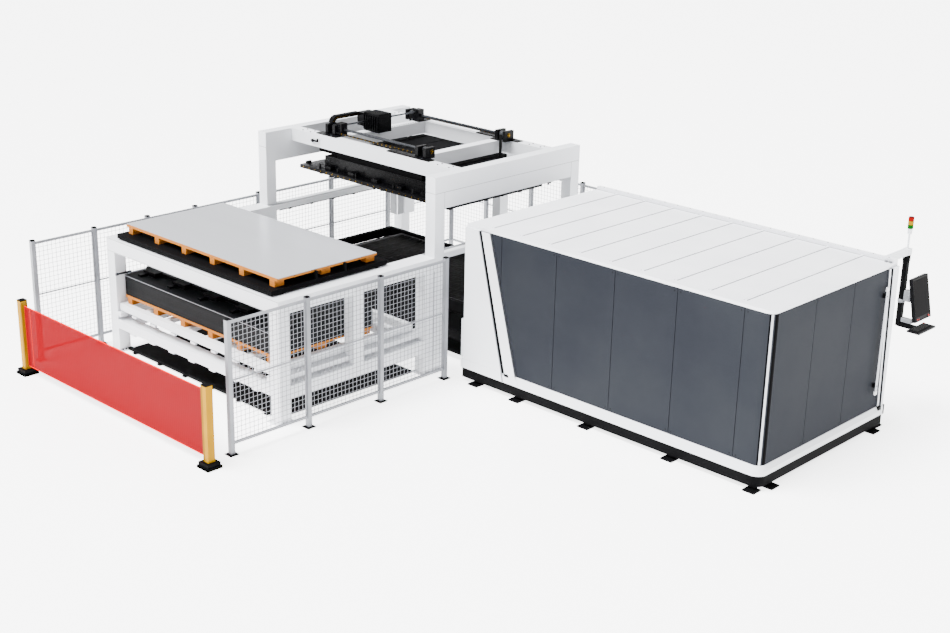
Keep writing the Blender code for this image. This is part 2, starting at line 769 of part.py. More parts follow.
def roof():
    """Folded roof sheet with standing seams and the lifting rail along its rear edge."""
    z = (PANEL_TOP, CABINET_TOP - ROOF_SEAM_RISE)
    points = rounded_rectangle((CABINET_LEFT, 0), (0, CABINET_DEPTH), CORNER_RADIUS)
    solids = [Prism("Z", points, z)]
    seam_z = (PANEL_TOP + ROOF_THICKNESS * HALF, CABINET_TOP)
    seam_y = (ROOF_EDGE, CABINET_DEPTH - ROOF_RAIL_WIDTH * HALF)
    for place in spread(CABINET_LEFT + ROOF_SEAM_LEFT_INSET, -ROOF_SEAM_RIGHT_INSET, ROOF_SEAMS):
        solids.append(Box(about(place, ROOF_SEAM_WIDTH), seam_y, seam_z))
    rail_y = (CABINET_DEPTH - ROOF_RAIL_WIDTH, CABINET_DEPTH)
    rail_z = (seam_z[0], CABINET_TOP + ROOF_RAIL_HEIGHT)
    solids.append(Box((CABINET_LEFT, 0), rail_y, rail_z))
    make("roof", "white_paint", solids)


def cabin_frame():
    """Square tubes inside the panels: four posts, a top ring and the gusset round the corner post."""
    left = WALL_INNER_LEFT + SEAT
    front = PANEL_THICKNESS + SEAT
    rear = WALL_INNER_REAR - SEAT
    right = -PANEL_THICKNESS - SEAT
    inner = -CORNER_RADIUS - SEAT
    corner = CORNER_RADIUS + SEAT
    top = (PANEL_TOP - SEAT - STUD, PANEL_TOP - SEAT)
    tall = (SKIRT_BOTTOM + SEAT, PANEL_TOP - SEAT)
    solids = [
        Box((left, inner), span(front, STUD), top),
        Box((left, right), span(rear, -STUD), top),
        Box(span(left, STUD), (front, rear), top),
        Box(span(right, -STUD), (corner, rear), top),
        Box(span(inner, -STUD), (front, corner + STUD), top),
        Box((inner - STUD, right), span(corner, STUD), top),
        Box(span(left, STUD), span(front, STUD), tall),
        Box(span(left, STUD), span(rear, -STUD), tall),
        Box(span(right, -STUD), span(rear, -STUD), tall),
        Box(span(inner, -STUD), span(corner, STUD), tall),
    ]
    make("cabin_frame", "black_paint", solids)


def toothed(low, high, bottom, top):
    """A slat's outline: a straight foot and a row of pointed teeth."""
    points = [(low, bottom), (high, bottom)]
    step = (high - low) / SLAT_TEETH
    for tooth in range(SLAT_TEETH):
        edge = high - tooth * step
        points.append((edge, top - TOOTH_DEPTH))
        points.append((edge - step * HALF, top))
    points.append((low, top - TOOTH_DEPTH))
    return points


def cutting_pallet(name, right, z):
    """A welded rim with toothed support slats across it."""
    x = (right - PALLET_LENGTH, right)
    y = about(TABLE_MID_Y, PALLET_WIDTH)
    rim = (z[0], z[1] - TOOTH_DEPTH)
    solids = [
        Box(x, span(y[0], PALLET_SIDE), rim),
        Box(x, span(y[1], -PALLET_SIDE), rim),
        Box(span(x[0], PALLET_SIDE), y, rim),
        Box(span(x[1], -PALLET_SIDE), y, rim),
    ]
    seat = PALLET_SIDE * HALF
    outline = toothed(y[0] + seat, y[1] - seat, z[1] - SLAT_DROP, z[1])
    for place in spread(x[0] + PALLET_SIDE * 2, x[1] - PALLET_SIDE * 2, SLAT_COUNT):
        solids.append(Prism("X", outline, about(place, SLAT_THICKNESS)))
    make(name, "dark_steel", solids, pivot=(x[0], TABLE_MID_Y, z[0]))


def pallet_ledges(x, wall):
    """Angle ledges on which the pallets roll, at both levels and on both sides."""
    pallet = about(TABLE_MID_Y, PALLET_WIDTH)
    shelves = []
    for level in (LOWER_PALLET_Z, UPPER_PALLET_Z):
        z = span(level[0] - SEAT, -LEDGE_THICKNESS)
        shelves.append(Box(x, (wall[0], pallet[0] + LEDGE_REACH), z))
        shelves.append(Box(x, (wall[1], pallet[1] - LEDGE_REACH), z))
    return shelves


def exchange_frame():
    """Stands inside the portal: side walls of channel, legs, ledges and a scrap tray near the floor."""
    x = (-TABLE_LEFT, -TABLE_RIGHT)
    y = about(TABLE_MID_Y, TABLE_WIDTH)
    rail = (TABLE_TOP - PALLET_DEPTH, TABLE_TOP)
    solids = [
        Box(x, span(y[0], TABLE_CHANNEL), rail),
        Box(x, span(y[1], -TABLE_CHANNEL), rail),
        Box(span(x[0], TABLE_CHANNEL), y, rail),
    ]
    low_rail = (LOWER_PALLET_BOTTOM - PALLET_DEPTH, LOWER_PALLET_BOTTOM)
    solids.append(Box(x, span(y[0], TABLE_CHANNEL), low_rail))
    solids.append(Box(x, span(y[1], -TABLE_CHANNEL), low_rail))
    for leg in TABLE_LEGS:
        solids.append(Box(about(-leg, TABLE_LEG), span(y[0], TABLE_CHANNEL), (0, TABLE_TOP - OVERRUN)))
        solids.append(Box(about(-leg, TABLE_LEG), span(y[1], -TABLE_CHANNEL), (0, TABLE_TOP - OVERRUN)))
        solids.append(Box(about(-leg, TABLE_LEG), y, (TABLE_TIE_HEIGHT, TABLE_TIE_HEIGHT * 2)))
    middle = (y[0] + TABLE_CHANNEL * HALF, y[1] - TABLE_CHANNEL * HALF)
    solids += pallet_ledges(x, middle)
    tray_x = (x[0] + TABLE_CHANNEL, x[1] - TABLE_CHANNEL)
    solids.append(Box(tray_x, middle, about(TABLE_TIE_HEIGHT * 2 - TABLE_TRAY, TABLE_TRAY)))
    make("exchange_frame", "black_paint", solids)


def machine_bed():
    """Welded bed: two walls that carry the rails, ties across and the inner pallet ledges."""
    x = (-BED_LEFT, -BED_RIGHT)
    inner = about(TABLE_MID_Y, TABLE_WIDTH - TABLE_CHANNEL)
    foot = SKIRT_BOTTOM + SEAT
    wall = (foot, BED_TOP - RAIL_HEIGHT)
    solids = [
        Box(x, span(inner[0], -BED_WALL), wall),
        Box(x, span(inner[1], BED_WALL), wall),
    ]
    across = (inner[0] - BED_WALL, inner[1] + BED_WALL)
    for tie in BED_TIES:
        solids.append(Box(about(-tie, BED_TIE), across, span(foot, BED_TIE_HEIGHT)))
    for side in (inner[0] - BED_WALL * HALF, inner[1] + BED_WALL * HALF):
        solids.append(Box(x, about(side, RAIL_WIDTH), (wall[1] - RAIL_HEIGHT, BED_TOP)))
    middle = (inner[0] - BED_WALL * HALF, inner[1] + BED_WALL * HALF)
    solids += pallet_ledges(x, middle)
    make("machine_bed", "grey_paint", solids)


def cutting_axes():
    """Bridge on the bed's rails, carriage on the bridge, head on the carriage."""
    inner = about(TABLE_MID_Y, TABLE_WIDTH - TABLE_CHANNEL)
    rails = (inner[0] - BED_WALL * HALF, inner[1] + BED_WALL * HALF)
    right = -BRIDGE_REST
    beam_x = span(right, -BRIDGE_WIDTH)
    truck_z = span(BED_TOP + SEAT, TRUCK_HEIGHT)
    beam_z = span(truck_z[1] - RAIL_HEIGHT, BRIDGE_HEIGHT)
    beam_y = (rails[0] - RAIL_WIDTH, rails[1] + RAIL_WIDTH)
    solids = [Box(beam_x, beam_y, beam_z)]
    truck_x = about(right - BRIDGE_WIDTH * HALF, TRUCK_LENGTH)
    for side in rails:
        solids.append(Box(truck_x, about(side, RAIL_WIDTH * 3), truck_z))
    pocket_x = (right + OVERRUN, right - BRIDGE_CUT)
    pocket_y = about(TABLE_MID_Y, TABLE_WIDTH - BED_WALL * 2)
    pocket_z = (beam_z[0] + RAIL_WIDTH, beam_z[1] - RAIL_WIDTH)
    cuts = [Box(pocket_x, pocket_y, pocket_z)]
    make("bridge_beam", "grey_paint", solids, cuts, pivot=(right, TABLE_MID_Y, BED_TOP))
    face = beam_x[1] - SEAT
    carriage_z = about((beam_z[0] + beam_z[1]) * HALF, CARRIAGE_HEIGHT)
    carriage = Box(span(face, -CARRIAGE_DEPTH), about(TABLE_MID_Y, CARRIAGE_WIDTH), carriage_z)
    make("head_carriage", "graphite_panel", [carriage], pivot=(face, TABLE_MID_Y, carriage_z[0]))
    head_x = span(face - CARRIAGE_DEPTH - SEAT, -HEAD_SIZE)
    body_z = span(NOZZLE_TIP + NOZZLE_HEIGHT, HEAD_HEIGHT)
    middle = (head_x[0] + head_x[1]) * HALF
    body = Box(head_x, about(TABLE_MID_Y, HEAD_SIZE), body_z)
    cone_z = (NOZZLE_TIP, body_z[0] + SEAT)
    nozzle = Rod("Z", middle, TABLE_MID_Y, cone_z, NOZZLE_TIP_RADIUS, NOZZLE_TOP_RADIUS)
    fibre_z = (body_z[1] - RAIL_WIDTH, body_z[1] + NOZZLE_HEIGHT)
    fibre = Rod("Z", middle, TABLE_MID_Y, fibre_z, NOZZLE_TOP_RADIUS)
    make("cutting_head", "ground_steel", [body, nozzle, fibre], pivot=(middle, TABLE_MID_Y, NOZZLE_TIP))


def fibre_source():
    """The laser source cabinet between the bed and the end face, with cooling fins on its top."""
    x = span(-SOURCE_PLACE[0], -SOURCE_SIZE[0])
    y = span(SOURCE_PLACE[1], SOURCE_SIZE[1])
    z = span(SKIRT_BOTTOM + SEAT, SOURCE_SIZE[2])
    solids = [Box(x, y, z)]
    for place in spread(y[0] + SOURCE_FIN * 2, y[1] - SOURCE_FIN * 2, SOURCE_FINS):
        solids.append(Box(x, about(place, SOURCE_FIN), span(z[1] - SOURCE_FIN, SOURCE_FIN * 4)))
    make("fibre_source", "grey_paint", solids)


def console():
    """White boom on the roof corner, hanging post, leaning monitor and a folding keyboard tray."""
    post_x = -ARM_FROM_END
    post_y = CABINET_DEPTH + ARM_REACH - ARM_SECTION * HALF
    arm_z = (CABINET_TOP - ARM_SECTION - SEAT, CABINET_TOP - SEAT)
    arm = Box(about(post_x, ARM_SECTION), (CABINET_DEPTH + SEAT, CABINET_DEPTH + ARM_REACH), arm_z)
    pole = Rod("Z", post_x, post_y, (arm_z[1] - OVERRUN, CABINET_TOP + SIGNAL_POLE), SIGNAL_POLE_RADIUS)
    holder_z = (CABINET_TOP + SIGNAL_POLE - SIGNAL_HOLDER, CABINET_TOP + SIGNAL_POLE + LAMP_STEP)
    holder = Rod("Z", post_x, post_y, holder_z, SIGNAL_RADIUS)
    make("console_arm", "white_paint", [arm, pole, holder])
    pivot = (post_x, post_y, 0)
    post_top = arm_z[0] - SEAT
    post = Box(about(post_x, POST_SIDE), about(post_y, POST_SIDE), (POST_BOTTOM, post_top))
    hub = Rod("Z", post_x, post_y, (post_top - POST_HUB_HEIGHT, post_top), POST_HUB)
    axis_x = post_x + MONITOR_REACH
    bracket_y = about(post_y, BRACKET_WIDTH)
    bracket_z = about(MONITOR_MID_Z, BRACKET_HEIGHT)
    solids = [post, hub, Box((post_x, axis_x - TILT_RADIUS * 2), bracket_y, bracket_z)]
    for side in (-1, 1):
        cheek = (post_y + side * (TILT_WIDTH * HALF + SEAT), post_y + side * BRACKET_WIDTH * HALF)
        solids.append(Box((axis_x - TILT_RADIUS * 3, axis_x), cheek, about(MONITOR_MID_Z, TILT_RADIUS)))
        solids.append(Rod("Y", axis_x, MONITOR_MID_Z, cheek, TILT_RADIUS - SEAT * 2))
    tray_x = post_x + TRAY_REACH
    bearer_z = span(TRAY_HINGE_Z, -TRAY_THICKNESS * 2)
    solids.append(Box((post_x, tray_x - SEAT), bracket_y, bearer_z))
    make("console_post", "black_paint", solids, pivot=pivot)
    hinge = (axis_x, post_y, MONITOR_MID_Z)
    lean = Matrix.Translation(hinge) @ Matrix.Rotation(-math.radians(MONITOR_LEAN), 4, "Y")
    face = TILT_RADIUS + MONITOR_DEPTH
    case = Box((TILT_RADIUS, face), about(0, MONITOR_WIDTH), about(0, MONITOR_HEIGHT))
    neck = Box((0, TILT_RADIUS + SEAT * 2), about(0, TILT_WIDTH), about(0, TILT_RADIUS))
    boss = Rod("Y", 0, 0, about(0, TILT_WIDTH), TILT_RADIUS - SEAT * 2)
    spot_z = BUTTON_FROM_EDGE - MONITOR_HEIGHT * HALF
    spot_y = MONITOR_WIDTH * HALF - BUTTON_FROM_SIDE
    depth = BUTTON_LENGTH * HALF + BUTTON_TRAVEL
    pocket = Rod("X", spot_y, spot_z, (face - depth - SEAT, face + OVERRUN), BUTTON_RADIUS + SEAT)
    make("monitor", "black_paint", [case, neck, boss], [pocket], pivot=hinge, place=lean)
    button = Rod("X", spot_y, spot_z, about(face, BUTTON_LENGTH), BUTTON_RADIUS)
    make("stop_button", "signal_red", [button], pivot=lean @ Vector((face, spot_y, spot_z)), place=lean)
    tray = Box(span(tray_x, TRAY_DEPTH), about(post_y, TRAY_WIDTH), span(TRAY_HINGE_Z, -TRAY_THICKNESS))
    make("keyboard_tray", "black_paint", [tray], pivot=(tray_x, post_y, TRAY_HINGE_Z - TRAY_THICKNESS))


def signal_lamps():
    """Three lens rings on one stem, on the pole that stands on the boom."""
    x = -ARM_FROM_END
    y = CABINET_DEPTH + ARM_REACH - ARM_SECTION * HALF
    low = CABINET_TOP + SIGNAL_POLE + LAMP_STEP + SEAT
    solids = []
    for lamp in range(3):
        solids.append(Rod("Z", x, y, span(low + lamp * LAMP_HEIGHT, LAMP_HEIGHT - LAMP_STEP), SIGNAL_RADIUS))
    stem = Rod("Z", x, y, (low, low + LAMP_HEIGHT * 3), SIGNAL_RADIUS - LAMP_STEP)
    make("signal_lamps", "signal_lens", [stem] + solids)


def store_frame():
    """Welded tube frame: six posts, rails at the top and near the floor, and both trolleys' guides."""
    x = LOADER_X
    y = STORE_Y
    tall = (BASE_PLATE_THICKNESS * HALF, TROLLEY_RAIL_TOP)
    top = (TROLLEY_RAIL_TOP - STORE_TOP_RAIL, TROLLEY_RAIL_TOP)
    sides = (span(x[0], POST_SIZE), span(x[1], -POST_SIZE))
    posts = (span(y[0], POST_SIZE), span(y[0] + STORE_MID_POST, POST_SIZE), span(y[1], -POST_SIZE))
    solids = []
    for side in sides:
        solids.append(Box(side, posts[1], (SIDE_RAIL_TOP - OVERRUN, TROLLEY_RAIL_TOP - OVERRUN)))
        for place in (posts[0], posts[2]):
            solids.append(Box(side, place, tall))
            middle = sum(place) * HALF
            plate = about(middle, BASE_PLATE)
            plate = (max(plate[0], y[0] - OVERRUN), min(plate[1], y[1]))
            solids.append(Box(about(sum(side) * HALF, BASE_PLATE), plate, (0, BASE_PLATE_THICKNESS)))
        solids.append(Box(side, y, top))
        solids.append(Box(side, y, (SIDE_RAIL_BOTTOM, SIDE_RAIL_TOP)))
    solids.append(Box(x, posts[0], top))
    solids.append(Box(x, posts[0], (FRONT_RAIL_BOTTOM, FRONT_RAIL_TOP)))
    solids.append(Box(x, posts[2], (FRONT_RAIL_BOTTOM, FRONT_RAIL_TOP)))
    upper = span(TROLLEY_RAIL_TOP, -TROLLEY_RAIL_HEIGHT)
    lower = span(LOWER_GUIDE_TOP, -LOWER_GUIDE_HEIGHT)
    for edge, inward in ((LOADER_INNER[0], 1), (LOADER_INNER[1], -1)):
        guide = (edge - inward * POST_SIZE * HALF, edge + inward * TROLLEY_RAIL_WIDTH)
        solids.append(Box(guide, y, upper))
        solids.append(Box(guide, y, lower))
    make("store_frame", "white_paint", solids)


def wheel_pair(y, z, height):
    """Two flat-tread wheels with their axle line at z, one over each guide."""
    wheels = []
    for edge, inward in ((TROLLEY_X[0], 1), (TROLLEY_X[1], -1)):
        wheels.append(Rod("X", y, z, (edge, edge + inward * WHEEL_WIDTH), height, sides=WHEEL_SIDES))
    return wheels


def trolley(name, finish, y, floor, height):
    """A ladder frame with four wheels; the wheels stand on the guides."""
    bottom = floor + WHEEL_RADIUS * HALF
    z = (bottom, floor + height)
    solids = [
        Box(TROLLEY_X, span(y[0], TROLLEY_BEAM), z),
        Box(TROLLEY_X, span(y[1], -TROLLEY_BEAM), z),
        Box(span(TROLLEY_X[0], TROLLEY_BEAM), y, z),
        Box(span(TROLLEY_X[1], -TROLLEY_BEAM), y, z),
    ]
    inner = (TROLLEY_X[0] + TROLLEY_BEAM, TROLLEY_X[1] - TROLLEY_BEAM)
    places = spread(inner[0], inner[1], TROLLEY_TIES + 2)[1:-1]
    tie_z = (z[1] - height * HALF, z[1])
    solids += [Box(about(place, TROLLEY_BEAM), y, tie_z) for place in places]
    for place in (y[0] + TROLLEY_BEAM * 2, y[1] - TROLLEY_BEAM * 2):
        solids += wheel_pair(place, floor + WHEEL_RADIUS, WHEEL_RADIUS)
    return solids, z[1]


def wood_pallet(name, y, floor, pivot):
    """Blocks in three rows under deck boards, with narrow gaps between the boards."""
    x = about(LOADER_MID, SHEET_LENGTH - WOOD_EDGE * 2)
    deck = span(floor + WOOD_BLOCK_HEIGHT, WOOD_DECK)
    rows = [
        y[0] + WOOD_BLOCK_LENGTH * HALF,
        (y[0] + y[1]) * HALF,
        y[1] - WOOD_BLOCK_LENGTH * HALF,
    ]
    solids = [Box(x, y, deck)]
    lap = WOOD_DECK * HALF
    for place in spread(x[0] + WOOD_BLOCK_WIDTH, x[1] - WOOD_BLOCK_WIDTH, WOOD_BLOCKS):
        for row in rows:
            block_z = (floor, deck[0] + lap)
            solids.append(Box(about(place, WOOD_BLOCK_WIDTH), about(row, WOOD_BLOCK_LENGTH), block_z))
    cuts = []
    gap_x = (x[0] - OVERRUN, x[1] + OVERRUN)
    gap_z = (deck[1] - lap, deck[1] + OVERRUN)
    for gap in spread(y[0], y[1], WOOD_BOARDS + 1)[1:-1]:
        cuts.append(Box(gap_x, about(gap, WOOD_BOARD_GAP), gap_z))
    make(name, "wood", solids, cuts, pivot=pivot)
    return deck[1]


def upper_store():
    """The upper trolley with its wood pallet and the sheet that is loaded next."""
    floor = TROLLEY_RAIL_TOP + SEAT
    y = (STORE_Y[0] + OVERRUN, STORE_Y[0] + OVERRUN + SHEET_WIDTH + WOOD_BLOCK_LENGTH + UPPER_LOAD_FRONT)
    pivot = (LOADER_MID, y[0], floor)
    solids, top = trolley("upper_trolley", "black_paint", y, floor, UPPER_TROLLEY_HEIGHT)
    solids.append(Box(TROLLEY_X, y, span(top, -TROLLEY_DECK)))
    for stake in STAKES:
        place = y[0] + UPPER_LOAD_FRONT + stake
        stake_z = (floor + STAKE, top + STAKE_HEIGHT)
        solids.append(Box(span(TROLLEY_X[1], -STAKE), about(place, STAKE), stake_z))
    make("upper_trolley", "black_paint", solids, pivot=pivot)
    load = span(y[0] + UPPER_LOAD_FRONT, SHEET_WIDTH)
    deck = wood_pallet("upper_wood_pallet", (load[0] - WOOD_EDGE, load[1] + WOOD_EDGE), top + SEAT, pivot)
    sheet = Box(about(LOADER_MID, SHEET_LENGTH), load, span(deck + SEAT, SHEET_THICKNESS))
    make("upper_sheet", "sheet_steel", [sheet], pivot=pivot)


def lower_store():
    """The lower trolley is a drawer: it rolls out to the front with a pallet and a stack of sheets."""
    floor = LOWER_GUIDE_TOP + SEAT
    y = (STORE_Y[0] + DRAWER_INSET, STORE_Y[1] - DRAWER_BACK)
    pivot = (LOADER_MID, y[0], floor)
    solids, top = trolley("lower_trolley", "white_paint", y, floor, LOWER_TROLLEY_HEIGHT)
    make("lower_trolley", "white_paint", solids, pivot=pivot)
    load = span(y[0] + TROLLEY_BEAM, SHEET_WIDTH)
    deck = wood_pallet("lower_wood_pallet", (load[0] - WOOD_EDGE, load[1] + WOOD_EDGE), top + SEAT, pivot)
    x = about(LOADER_MID, SHEET_LENGTH)
    stack = [Box(x, load, span(deck + SEAT, STACK_HEIGHT))]
    make("sheet_stack", "stack_steel", stack, pivot=pivot)


def portal_side(name, side, inward, boxed):
    """Two columns, the upper beam over their full depth, the beam under it and the trolley rail."""
    y = PORTAL_Y
    x = (side, side + inward * POST_SIZE)
    posts = (span(y[0], POST_SIZE), span(y[1], -POST_SIZE))
    tall = (BASE_PLATE_THICKNESS * HALF, PORTAL_TOP)
    upper = (PORTAL_TOP - UPPER_BEAM, PORTAL_TOP)
    lower = (upper[0] - LOWER_BEAM, PORTAL_TOP - UPPER_BEAM * HALF)
    solids = [Box(x, y, upper), Box(x, y, lower)]
    for post in posts:
        solids.append(Box(x, post, tall))
        plate = about(sum(post) * HALF, BASE_PLATE)
        plate = (max(plate[0], y[0]), plate[1])
        solids.append(Box(about(sum(x) * HALF, BASE_PLATE), plate, (0, BASE_PLATE_THICKNESS)))
    guide = (x[1] - inward * POST_SIZE * HALF, x[1] + inward * TROLLEY_RAIL_WIDTH)
    solids.append(Box(guide, y, span(TROLLEY_RAIL_TOP, -TROLLEY_RAIL_HEIGHT)))
    if boxed:
        wide, deep, high = CONTROL_BOX
        box_x = (x[0] + inward * OVERRUN, x[1] + inward * (wide - OVERRUN))
        box_y = (posts[1][0] - deep, posts[1][0] + OVERRUN)
        solids.append(Box(box_x, box_y, span(CONTROL_BOX_BOTTOM, high)))
    make(name, "white_paint", solids)


def portal_rear():
    """Beam between the rear columns, with its own post near the middle."""
    y = (PORTAL_Y[1] - POST_SIZE, PORTAL_Y[1])
    beam_z = (PORTAL_TOP - UPPER_BEAM - LOWER_BEAM, PORTAL_TOP - UPPER_BEAM)
    x = (LOADER_INNER[0] + SEAT, LOADER_INNER[1] - SEAT)
    post_x = about(x[1] - REAR_POST_OFFSET, REAR_POST_WIDTH)
    solids = [
        Box(x, y, beam_z),
        Box(post_x, y, (BASE_PLATE_THICKNESS * HALF, beam_z[1])),
        Box(about(sum(post_x) * HALF, BASE_PLATE), (y[0] - OVERRUN, y[1]), (0, BASE_PLATE_THICKNESS)),
    ]
    make("portal_rear_frame", "white_paint", solids)


def hoist_frame():
    """Two cross-beams between the side frames and two beams between them that carry the stations."""
    x = (LOADER_INNER[0] + SEAT, LOADER_INNER[1] - SEAT)
    z = (PORTAL_TOP - CROSS_BEAM_HEIGHT, PORTAL_TOP)
    front = span(CROSS_BEAM_FRONT, CROSS_BEAM_WIDTH)
    rear = span(CROSS_BEAM_REAR, CROSS_BEAM_WIDTH)
    solids = [Box(x, front, z), Box(x, rear, z)]
    for place in (INNER_BEAM_LEFT, INNER_BEAM_RIGHT):
        solids.append(Box(about(-place, INNER_BEAM_WIDTH), (front[0] + OVERRUN, rear[1] - OVERRUN), z))
    make("hoist_frame", "white_paint", solids)


def shaft_lines():
    front = CROSS_BEAM_FRONT + CROSS_BEAM_WIDTH + DRUM_RADIUS + DRUM_FLANGE
    rear = CROSS_BEAM_REAR - DRUM_RADIUS - DRUM_FLANGE
    return {"front": front, "rear": rear}


def station_x(place, outward):
    """A station's plate runs from inside its beam to the outer cheek past the drum."""
    inner = -place - outward * INNER_BEAM_WIDTH * HALF
    return (inner, inner + outward * STATION_LENGTH)


def drum_x(place, outward):
    start = -place + outward * (INNER_BEAM_WIDTH * HALF + RUNNING_GAP * 4)
    return (start, start + outward * DRUM_WIDTH)


def hoist_stations():
    """Each corner has a plate on the beams and two cheeks in which the shaft turns."""
    for line, y in shaft_lines().items():
        toward = -1 if line == "front" else 1
        for side, place, outward in (("left", INNER_BEAM_LEFT, -1), ("right", INNER_BEAM_RIGHT, 1)):
            floor = PORTAL_TOP + SEAT
            plate_z = span(floor, STATION_PLATE)
            x = station_x(place, outward)
            beam_y = y + toward * (DRUM_RADIUS + DRUM_FLANGE)
            plate_y = (beam_y, beam_y + toward * STATION_DEPTH * HALF)
            inner_edge = (x[0], x[0] + outward * INNER_BEAM_WIDTH)
            tail = STATION_TAIL if side == "right" else 0
            solids = [
                Box((x[0] - outward * tail, x[1]), plate_y, plate_z),
                Box(inner_edge, (plate_y[1], y - toward * CHEEK_DEPTH * HALF), plate_z),
            ]
            cheek_y = (y - toward * CHEEK_DEPTH * HALF, plate_y[0] + toward * CHEEK)
            cheek_z = (floor, SHAFT_Z + CHEEK_TOP)
            inner_cheek = (inner_edge[1], inner_edge[1] - outward * CHEEK)
            drum_end = drum_x(place, outward)[1] + outward * RUNNING_GAP * 4
            outer_cheek = (drum_end, drum_end + outward * CHEEK)
            solids.append(Box(inner_cheek, cheek_y, cheek_z))
            solids.append(Box(outer_cheek, cheek_y, cheek_z))
            reach = (-place - STATION_LENGTH, -place + STATION_LENGTH)
            bores = [Rod("X", y, SHAFT_Z, reach, SHAFT_RADIUS + BORE_GAP)]
            if side == "left":
                right_cheek = -INNER_BEAM_RIGHT + INNER_BEAM_WIDTH * HALF - CHEEK
                rod_x = (inner_cheek[1] - SEAT, right_cheek - SEAT)
                rod_y = y + toward * TIE_ROD_OFFSET
                solids.append(Rod("X", rod_y, SHAFT_Z - TIE_ROD_DROP, rod_x, TIE_ROD_RADIUS))
                top = CROSS_SHAFT_Z + CROSS_SHAFT_RADIUS * 3
                solids.append(Box(about(-place, GEARBOX), about(y, GEARBOX), (floor, top)))
                through = about(y, GEARBOX * 3)
                bores.append(Rod("Y", -place, CROSS_SHAFT_Z, through, CROSS_SHAFT_RADIUS + BORE_GAP))
            make(f"hoist_station_{line}_{side}", "black_paint", solids, bores)


def hoist_shafts():
    """Each lift shaft carries two belt drums, one at each of its stations."""
    for line, y in shaft_lines().items():
        left = drum_x(INNER_BEAM_LEFT, -1)
        right = drum_x(INNER_BEAM_RIGHT, 1)
        ends = (left[1] - CHEEK, right[1] + CHEEK)
        solids = [Rod("X", y, SHAFT_Z, ends, SHAFT_RADIUS)]
        for drum in (left, right):
            solids.append(Rod("X", y, SHAFT_Z, drum, DRUM_RADIUS))
        make(f"hoist_shaft_{line}", "dark_steel", solids, pivot=(LOADER_MID, y, SHAFT_Z))


def cross_shaft():
    """Runs from the motor to both left gearboxes, above the lift shafts that it drives."""
    lines = shaft_lines()
    reach = (lines["front"] - GEARBOX * HALF, lines["rear"] + GEARBOX * HALF)
    shaft = Rod("Y", -INNER_BEAM_LEFT, CROSS_SHAFT_Z, reach, CROSS_SHAFT_RADIUS)
    make("hoist_cross_shaft", "dark_steel", [shaft], pivot=(-INNER_BEAM_LEFT, reach[0], CROSS_SHAFT_Z))


def motor_block():
    """Spans of the drive housing and of the terminal box beside it."""
    x = span(-INNER_BEAM_LEFT - INNER_BEAM_WIDTH * HALF, MOTOR_LENGTH)
    y = span(MOTOR_FRONT, MOTOR_DEPTH)
    z = span(PORTAL_TOP + SEAT, MOTOR_HEIGHT)
    box_x = (x[0] + OVERRUN, x[0] - MOTOR_BOX_LENGTH)
    box_y = (y[0] + MOTOR_FIN_DEPTH, y[1] - MOTOR_FIN_DEPTH)
    box_z = (z[0] + OVERRUN, z[1] - MOTOR_FIN)
    return (x, y, z), (box_x, box_y, box_z)


def hoist_motor():
    """Finned drive housing on the left beam, its terminal box and the bore for the cross shaft."""
    block, box = motor_block()
    x, y, z = block
    core = Box(x, (y[0] + MOTOR_FIN_DEPTH, y[1]), z)
    solids = [core, Box(*box)]
    fin_z = (z[0] + MOTOR_FIN * 2, z[1] - MOTOR_FIN * 2)
    for place in spread(x[0] + MOTOR_FIN, x[1] - MOTOR_FIN, MOTOR_FINS):
        solids.append(Box(about(place, MOTOR_FIN), (y[0], y[0] + MOTOR_FIN_DEPTH * 2), fin_z))
    through = (y[0] - OVERRUN, y[1] + OVERRUN)
    bore = Rod("Y", -INNER_BEAM_LEFT, CROSS_SHAFT_Z, through, CROSS_SHAFT_RADIUS + BORE_GAP)
    make("hoist_motor", "black_paint", solids, [bore])


def energy_chain():
    """Link chain that rises from the front left station and bends over to the terminal box."""
    start_y = shaft_lines()["front"]
    start_z = SHAFT_Z + CHEEK_TOP + SEAT
    end_y = motor_block()[1][1][0] - SEAT
    rise = CHAIN_RADIUS
    straight = end_y - start_y - CHAIN_RADIUS
    arc = CHAIN_RADIUS * math.pi * HALF
    length = arc + straight

    def edge(along, offset):
        if along < arc:
            angle = along / CHAIN_RADIUS
            centre = (start_y + CHAIN_RADIUS, start_z)
            radius = CHAIN_RADIUS + offset
            return (centre[0] - radius * math.cos(angle), centre[1] + radius * math.sin(angle))
        return (start_y + CHAIN_RADIUS + along - arc, start_z + rise + offset)

    outer = []
    inner = []
    half = CHAIN_THICKNESS * HALF
    link = length / CHAIN_LINKS
    for step in range(CHAIN_LINKS):
        first = step * link
        for share, inset in CHAIN_LINK_SHARES:
            outer.append(edge(first + share * link, half - inset * CHAIN_NOTCH))
        inner.append(edge(first, -half))
    outer.append(edge(length, half - CHAIN_NOTCH))
    inner.append(edge(length, -half))
    x = sum(drum_x(INNER_BEAM_LEFT, -1)) * HALF - DRUM_WIDTH * HALF - CHEEK
    chain = Prism("X", outer + inner[::-1], about(x, CHAIN_WIDTH))
    make("energy_chain", "black_paint", [chain])


def lift_belts():
    """Flat belts from the drums down to the suction frame."""
    for line, y in shaft_lines().items():
        toward = 1 if line == "front" else -1
        for side, place, outward in (("left", INNER_BEAM_LEFT, -1), ("right", INNER_BEAM_RIGHT, 1)):
            middle = sum(drum_x(place, outward)) * HALF
            start = y + toward * (DRUM_RADIUS + SEAT)
            belt_y = (start, start + toward * BELT_THICKNESS)
            belt = Box(about(middle, BELT_WIDTH), belt_y, (SUCTION_TOP + SEAT, SHAFT_Z))
            make(f"lift_belt_{line}_{side}", "black_rubber", [belt], pivot=(middle, start, SHAFT_Z))


